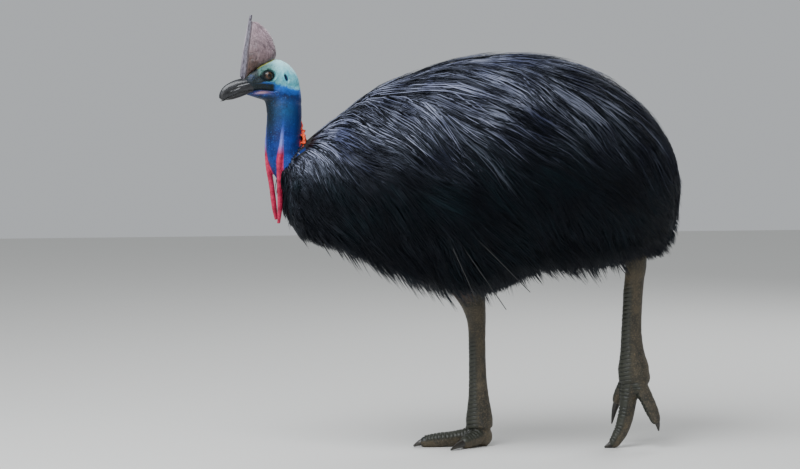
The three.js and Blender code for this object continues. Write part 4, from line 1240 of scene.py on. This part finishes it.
# %% Bare quills of the wings
WING = {
    "x": -110.0, "z": 705.0, "out": 200.0, "sunk": 0.06, "clear": 5.0, "half": 2.4, "thin": 0.6, "steps": 4,
    "depths": [0.90, 0.945, 0.985],
}
QUILLS = [(0.77, 358.0), (0.98, 378.0), (1.12, 320.0)]  # turned down by radians, reach in mm
quill_horn = horn_material("quill horn", "#0B0C0F", "#17181C", roughness=0.42, grain=11.1111)
for name, sign in (("wing_left", -1), ("wing_right", 1)):
    stub = np.array([[WING["x"], sign * WING["out"], WING["z"]]])
    root = set_depth(stub, CORE["beside"] - WING["sunk"], rounds=12)[0]
    made = []
    for steep, reach in QUILLS:
        path = [root]
        for n in range(1, WING["steps"]):
            away = reach * n / WING["steps"]
            spot = root + np.array([math.cos(steep) * away, 0, -math.sin(steep) * away])
            spot = set_depth(spot[None], WING["depths"][n - 1], rounds=12)
            clear = WING["clear"] if n == WING["steps"] - 1 else 0.0
            path.append((spot + unit(outwards(spot)) * clear)[0])
        path.append(2 * path[-1] - path[-2])
        halves = [WING["half"] * (1 - WING["thin"] * (n / WING["steps"]) ** 2) for n in range(len(path))]
        rows = [[*place, half, half] for place, half in zip(path, halves)]
        made.append(limb("quill", rows, sides=10, rings=20))
    start_clean()
    for quill in made:
        quill.select_set(True)
    bpy.context.view_layer.objects.active = made[0]
    bpy.ops.object.join()
    bpy.ops.object.shade_smooth()
    made[0].name = name
    finish(made[0], "quill", quill_horn, stands_for=[name])
print("quills done")


# %% [markdown]
# ## The coat
# A cassowary's feathers have no barbs that hook together, so each hangs like coarse hair. A particle
# system would be quick, but a model that leaves Blender needs its strands as real surfaces. Each tuft is
# therefore a guide line laid over the body, and seven thin three-sided strands follow it, so that they
# part and close again like a clump of hair. The guides run back along the outline on the shoulders and
# turn down on the flanks, and end where the solids' plumage ends.

# %% Roots, spread evenly over the body
COAT = {
    "pieces": 7, "tufts": 1245, "strands": 7, "steps": 8, "half": 1.45, "crest": 0.9,
    "root_spread": 4.0, "mid_spread": 5.6, "tip_spread": 2.6, "keep": 35.0,
    "shortest": 50.0, "spare": 1.2, "root_sunk": 0.02, "strand_gap": 0.55, "lift": 1.8, "wave": 3.4,
}
PARTING = {"from": (173.0, 785.0), "to": (485.0, 499.0), "half": 17.0, "sunk": 0.035}


def strand_length(x):
    """Feathers are short on the breast and long on the back."""
    return np.interp(x, [-448, -400, -300, -180], [58, 100, 200, 300])


def spread_roots(count):
    """Places evenly by area on the core, more where the feathers are short."""
    xs = np.linspace(BREAST_X + 2, RUMP_X - 3, 221)
    turns = np.linspace(-math.pi, math.pi, 181)
    grid_x, grid_turn = np.meshgrid(xs, turns, indexing="ij")
    spots = core_point(grid_x.ravel(), grid_turn.ravel()).reshape(len(xs), len(turns), 3)
    du, dv = np.diff(spots, axis=0)[:, :-1], np.diff(spots, axis=1)[:-1]
    area = np.linalg.norm(np.cross(du, dv), axis=2)
    weight = (260 / strand_length((xs[:-1] + xs[1:]) / 2)) ** 0.8
    under = np.clip(-4 * np.cos((turns[:-1] + turns[1:]) / 2) - 3, 0, 1)
    area = area * weight[:, None] * (1 - 0.25 * under)[None]
    by_x = np.concatenate([[0], np.cumsum(area.sum(axis=1))])
    n = np.arange(count) + 0.5
    first, second = np.mod(n * 0.7548776662466927, 1), np.mod(n * 0.5698402909980532, 1)
    x = np.interp(first * by_x[-1], by_x, xs)
    column = np.clip(np.searchsorted(xs, x) - 1, 0, len(xs) - 2)
    by_turn = np.concatenate([np.zeros((len(area), 1)), np.cumsum(area, axis=1)], axis=1)
    turn = np.array([np.interp(s * by_turn[c, -1], by_turn[c], turns) for s, c in zip(second, column)])
    return x, turn


def from_parting(points):
    """1 along the furrow where the flank's plumage divides, 0 away from it."""
    start, end = np.array(PARTING["from"]), np.array(PARTING["to"])
    run = end - start
    away = points[:, [0, 2]] - start
    share = np.clip(away @ run / (run @ run), 0, 1)
    gap = np.linalg.norm(away - share[:, None] * run, axis=1)
    ends = smoothstep(share, 0, 0.2) * (1 - 0.5 * smoothstep(share, 0.8, 1))
    return bump_of(gap, 0, PARTING["half"]) * ends


def lay_way(points, turned):
    """The way that feathers lie at points: back along the outline, and down the flanks."""
    out = unit(outwards(points))
    middle, _, down, _, _ = section_at(points[:, 0])
    below = np.clip((middle - points[:, 2]) / down, 0, 1)
    way = np.stack([np.ones(len(points)), np.zeros(len(points)), -0.85 - 0.8 * below], axis=1)
    hang = smoothstep(below, 0.6, 0.8)
    way = unit(way - (way * out).sum(axis=1)[:, None] * out * (1 - hang)[:, None])
    side = np.cross(out, way)
    return unit(way * np.cos(turned)[:, None] + side * np.sin(turned)[:, None]), hang


def guide_lines(lengths):
    """The middle lines of all tufts, as (tuft, step, xyz)."""
    spots = [roots]
    start = depth_at(roots)
    for n in range(COAT["steps"]):
        now = spots[-1]
        x, z = now[:, 0], now[:, 2]
        swirl = 0.20 * np.sin(x / 70 + z / 45) + 0.16 * np.sin(x / 33 - z / 60 + 2) + twist
        way, hang = lay_way(now, swirl)
        following = now + way * (lengths / COAT["steps"])[:, None]
        share = ((n + 1) / COAT["steps"]) ** (1 / rises)
        target = start + (tips - PARTING["sunk"] * from_parting(following) - start) * share
        laid = set_depth(following, target, rounds=3)
        spots.append(following + (laid - following) * (1 - hang)[:, None])
    return np.stack(spots, axis=1)


rng = np.random.default_rng(11)
total = int(COAT["pieces"] * COAT["tufts"] * COAT["spare"])
root_x, root_turn = spread_roots(total)
roots = core_point(root_x, root_turn, sunk=COAT["root_sunk"])
lengths = strand_length(root_x) * rng.uniform(0.75, 1.2, total)
tips = rng.uniform(0.95, 1.003, total)
tips = np.where(root_x < -420, np.minimum(tips, 0.99), tips)
rises = rng.uniform(1.5, 2.4, total)
hem = 9 * np.sin(root_x / 11 + 2 * np.sin(root_turn * 9)) + rng.uniform(-12, 26, total)
hem -= 10 * smoothstep(root_x, 400, 500)
hem -= rng.choice([0.0, 20.0, 34.0], total, p=[0.86, 0.09, 0.05])
twist = np.radians(rng.normal(0, 6, total))
for _ in range(3):
    lines = guide_lines(lengths)
    lowest = section_at(lines[:, -1, 0])[4] + hem
    drop = lines[:, 0, 2] - lines[:, -1, 2]
    allowed = np.maximum(lines[:, 0, 2] - lowest, COAT["shortest"])
    lengths = lengths * np.where(drop > allowed, np.clip(allowed / np.maximum(drop, 1), 0.1, 1), 1)
lines = guide_lines(lengths)
keep = lengths > COAT["keep"]
neck_gap = np.hypot((roots[:, 0] + 413) / 50, roots[:, 1] / 44)
keep &= ~((neck_gap < 0.9) & (roots[:, 2] > 730))
for rows in LEGS.values():
    _, spot, gap = nearest(rows, roots, samples=60)
    keep &= gap > spot[:, 3] * 0.9
print("tufts kept:", int(keep.sum()), "of", total)

# %% [markdown]
# ## From guide lines to strands
# A strand could be a flat ribbon, but ribbons vanish when seen edge on and aren't solid. The cheapest closed
# strand has three corners a ring. Written straight into the mesh as arrays, sixty thousand of them take a
# second, where operators would take hours. Each tuft also gets a small patch of the map OFBake, at its
# root's place, so that a baked picture keeps its tone.

# %% A strand is three rings of three corners, a root and a tip
RING_SHARES = np.array([0, 0.28, 0.55, 0.8])
RING_WIDTHS = np.array([0.7, 1.0, 0.9, 0.6])
QUADS = np.array([[3 * r + a, 3 * r + 3 + a, 3 * r + 3 + b, 3 * r + b]
                  for r in range(3) for a, b in ((0, 1), (1, 2), (2, 0))])
CAPS = np.array([[0, 1, 2], [10, 9, 12], [11, 10, 12], [9, 11, 12]])
CORNERS, TRIANGLES = 13, 22
PATCH = {"wide": 0.0026, "high": 0.003}  # of a tuft on the map OFBake


def strand_mesh(name, line, outward, place, painted_sheen):
    """Tufts along line as one mesh. outward is the way out at each step, place each tuft's spot on OFBake."""
    count, strands, steps = len(line), COAT["strands"], line.shape[1] - 1
    shares = np.append(RING_SHARES, 1.0)
    i = np.minimum((shares * steps).astype(int), steps - 1)
    f = (shares * steps - i)[None, :, None]
    base = line[:, i] * (1 - f) + line[:, i + 1] * f
    out = outward[:, i] * (1 - f) + outward[:, i + 1] * f
    run = unit(np.gradient(base, axis=1))
    side = unit(np.cross(run, out))
    lift = np.cross(side, run)
    spread = np.interp(shares, [0, 0.4, 1], [COAT["root_spread"], COAT["mid_spread"], COAT["tip_spread"]])
    size = np.linalg.norm(line[:, -1] - line[:, 0], axis=1)
    spread_out = (np.arange(strands) - (strands - 1) / 2) * COAT["strand_gap"]
    offset = rng.uniform(-1, 1, (count, strands)) + spread_out
    high = rng.uniform(-1.0, 1.3, (count, strands))
    short = rng.uniform(0.78, 1.0, (count, strands))
    phase = rng.uniform(0, 2 * math.pi, (count, strands))
    calm = COAT["wave"] * np.minimum(size / 260, 1)[:, None, None]
    wave = calm * shares * np.sin(phase[..., None] + 5.5 * shares)
    middle = base[:, None] + side[:, None] * (offset[:, :, None] * spread + wave)[..., None]
    middle = middle + lift[:, None] * (high[:, :, None] * COAT["lift"] * shares)[..., None]
    middle = middle[:, :, :1] + (middle - middle[:, :, :1]) * short[:, :, None, None]
    wide = side[:, None, :4] * (COAT["half"] * RING_WIDTHS)[:, None]
    crest = lift[:, None, :4] * (COAT["crest"] * RING_WIDTHS)[:, None]
    rings = np.stack([middle[:, :, :4] - wide, middle[:, :, :4] + wide, middle[:, :, :4] + crest], axis=3)
    points = np.concatenate([rings.reshape(count, strands, 12, 3), middle[:, :, 4:]], axis=2).reshape(-1, 3)
    points[:, 2] = np.maximum(points[:, 2], 0.5)
    number = count * strands
    first = np.arange(number)[:, None, None] * CORNERS
    loops = np.concatenate([(first + part).reshape(number, -1) for part in (QUADS, CAPS)], axis=1).ravel()
    sizes = np.tile([4] * len(QUADS) + [3] * len(CAPS), number)
    mesh = bpy.data.meshes.new(name)
    mesh.vertices.add(len(points))
    mesh.vertices.foreach_set("co", (points * MM).astype(np.float32).ravel())
    mesh.loops.add(loops.size)
    mesh.loops.foreach_set("vertex_index", loops.astype(np.int32))
    mesh.polygons.add(len(sizes))
    mesh.polygons.foreach_set("loop_start", np.concatenate([[0], np.cumsum(sizes)[:-1]]).astype(np.int32))
    mesh.update(calc_edges=True)
    mesh.shade_smooth()
    piece = bpy.data.objects.new(name, mesh)
    bpy.context.scene.collection.objects.link(piece)
    along_values = np.append(np.repeat(RING_SHARES, 3), 1.0)
    tone = 0.42 * rng.uniform(0, 1, (count, 1)) + 0.58 * rng.uniform(0, 1, (count, strands))
    write_attribute(piece, "tone", np.repeat(tone, CORNERS))
    # how strongly a sheen is painted on each tuft
    write_attribute(piece, "painted_sheen", np.repeat(painted_sheen, strands * CORNERS))
    write_attribute(piece, "along", np.tile(along_values, number))
    beside = PATCH["wide"] / 2 * np.linspace(-1, 1, strands)[None, :, None]
    u = place[:, 0, None, None] + beside + 0 * along_values
    v = place[:, 1, None, None] + PATCH["high"] * (along_values - 0.5) + np.zeros((1, strands, 1))
    layer = mesh.uv_layers.new(name="OFBake")
    layer.data.foreach_set("uv", np.stack([u, v], axis=-1).reshape(-1, 2)[loops].astype(np.float32).ravel())
    return piece


# %% Black feathers
def feather_material():
    """Barbless feathers: hair-like keratin, near black and cold in the shade, with a violet grey sheen painted
    on.
    """
    material, tree, shader = new_material("black barbless feathers")
    tone, painted_sheen, run = read_masks(tree, "tone", "painted_sheen", "along")
    # tones drift over 111 mm, about the width of a hand; within that each tuft and strand has its own
    place = add(tree, "TexCoord", out="Object")
    drift = add(tree, "TexNoise", {"Vector": place, "Scale": per_metre(111.111), "Detail": 3.0})
    cold = paint(tree, "#020506", (drift, 0.38, 0.62, "#06171A"))
    # the sheen is painted: violet grey on the brighter tufts and strands, where the painted sheen is strong
    lit = add(tree, "MapRange", {0: tone, 1: 0.36, 2: 0.84})
    bright = add(tree, "Math", {0: lit, 1: 1.7}, operation="POWER")
    streak = add(tree, "Math", {0: bright, 1: painted_sheen}, operation="MULTIPLY")
    sheen = paint(tree, "#5A6080", (drift, 0.35, 0.65, "#C4CAE4"))
    colour = paint(tree, "#010203", (tone, 0.25, 0.85, cold), (streak, sheen), (run, 0.3, 0.0, "#010203"))
    surface(tree, shader, colour, 0.34)
    shader.inputs["Specular IOR Level"].default_value = 0.36
    shader.inputs["Specular Tint"].default_value = srgb("#D3DBF7")
    return material


def painted_sheen_at(points):
    """How strong the painted sheen is: most on shoulders and back, least under the flank, dimmed into shade
    along the parting.
    """
    middle, up, _, _, _ = section_at(points[:, 0])
    rise = (points[:, 2] - middle) / up
    ahead = np.interp(points[:, 0], [-440, -300, 0, 250, 560], [0.9, 1.0, 0.85, 0.5, 0.25])
    return ahead * smoothstep(rise, 0.05, 0.8) * (1 - 0.8 * from_parting(points))


feathers = feather_material()
order = np.argsort(root_x)
order = order[keep[order]]
order = order[np.sort(rng.permutation(len(order))[:COAT["pieces"] * COAT["tufts"]])]
MAP_SHARE, MAP_EDGE = 0.98, 0.01
for number, chosen in enumerate(np.array_split(order, COAT["pieces"])):
    line = lines[chosen]
    outward = unit(outwards(line.reshape(-1, 3))).reshape(line.shape)
    place = np.stack([
        (root_x[chosen] - BREAST_X) / (RUMP_X - BREAST_X) * MAP_SHARE + MAP_EDGE,
        root_turn[chosen] / (2 * math.pi) * MAP_SHARE + 0.5,
    ], axis=1)
    # each tuft's painted sheen, read at its middle
    painted_sheen = painted_sheen_at(line[:, COAT["steps"] // 2])
    piece = strand_mesh("plumage_" + str(number + 1), line, outward, place, painted_sheen)
    finish(piece, "plumage", feathers)
    print(piece.name, len(chosen), "tufts", len(chosen) * COAT["strands"] * TRIANGLES, "triangles")

# %% [markdown]
# ## The collar
# Where the bare neck goes into the body, short feathers stand on the neck's own skin and hide the border,
# and more of them thicken the front of the breast. Their roots are points of the finished skin, chosen at
# random below a slanting line, because the rows of the trunk don't reach up the neck.

# %% Short feathers where the neck enters the body, and over the front of the breast
COLLAR = {
    "high": (-397.0, 808.0), "low": (-443.0, 735.0), "neck": 610, "breast": 370, "length": (40.0, 76.0),
    "top": 835, "bottom": 660, "front": -472, "back": -320, "breast_back": -405, "breast_top": 800,
}
points, normals = read_points(skin), read_normals(skin)
x, z = points[:, 0], points[:, 2]
slope = (COLLAR["high"][1] - COLLAR["low"][1]) / (COLLAR["high"][0] - COLLAR["low"][0])
border = COLLAR["low"][1] + slope * (x - COLLAR["low"][0]) + 3 * np.sin(x / 4)
bare = (on_wattle < 0.05) & (on_fold < np.where(z < 768, 1.1, 0.25))
on_neck = bare & (kinds == BARE) & (z < np.minimum(border, COLLAR["top"])) & (z > COLLAR["bottom"])
on_neck &= (x > COLLAR["front"]) & (x < COLLAR["back"])
on_breast = bare & (kinds == COVERED) & (x < COLLAR["breast_back"]) & (z < COLLAR["breast_top"])
regions = {"neck": on_neck, "breast": on_breast}
chosen = np.concatenate([rng.choice(np.where(region)[0], COLLAR[name]) for name, region in regions.items()])

# %% Their lines and strands
start, out = points[chosen] + rng.uniform(-2, 2, (len(chosen), 3)), normals[chosen]
back = np.interp(start[:, 0], [-448, -400], [0.15, 0.8])
way = np.stack([back, 0 * back, -np.ones(len(back))], axis=1)
way = unit(way - (way * out).sum(axis=1)[:, None] * out)
turned = np.radians(rng.normal(0, 9, len(way)))[:, None]
way = way * np.cos(turned) + np.cross(out, way) * np.sin(turned)
size = rng.uniform(*COLLAR["length"], len(start)) * np.interp(start[:, 2], [600, 820], [1.0, 0.8])
shares = np.linspace(0, 1, COAT["steps"] + 1)
on_body = kinds[chosen] == COVERED
rise = np.where(on_body, 4.0, 8.0)[:, None] * shares ** 0.6 - 1.5
line = start[:, None] + way[:, None] * (size[:, None] * shares)[..., None] + rise[..., None] * out[:, None]
deep = depth_at(line.reshape(-1, 3)).reshape(line.shape[:2])
inside = np.where((deep > 1.0) & (deep < 1.25) & on_body[:, None], 1.0, 0.0)
laid = set_depth(line.reshape(-1, 3), 0.995).reshape(line.shape)
line = line + (laid - line) * inside[..., None]
outward = np.repeat(out[:, None], len(shares), axis=1)
place = np.stack([0.02 + 0.9 * (start[:, 0] + 495) / 180, 0.04 + 0.9 * (start[:, 2] - 540) / 320], axis=1)
# the collar's painted sheen grows from 740 to 800 mm up
collar = strand_mesh("neck_plumage", line, outward, place, 0.9 * smoothstep(start[:, 2], 740, 800))
finish(collar, "plumage", feathers)
print("neck plumage:", len(start), "tufts")
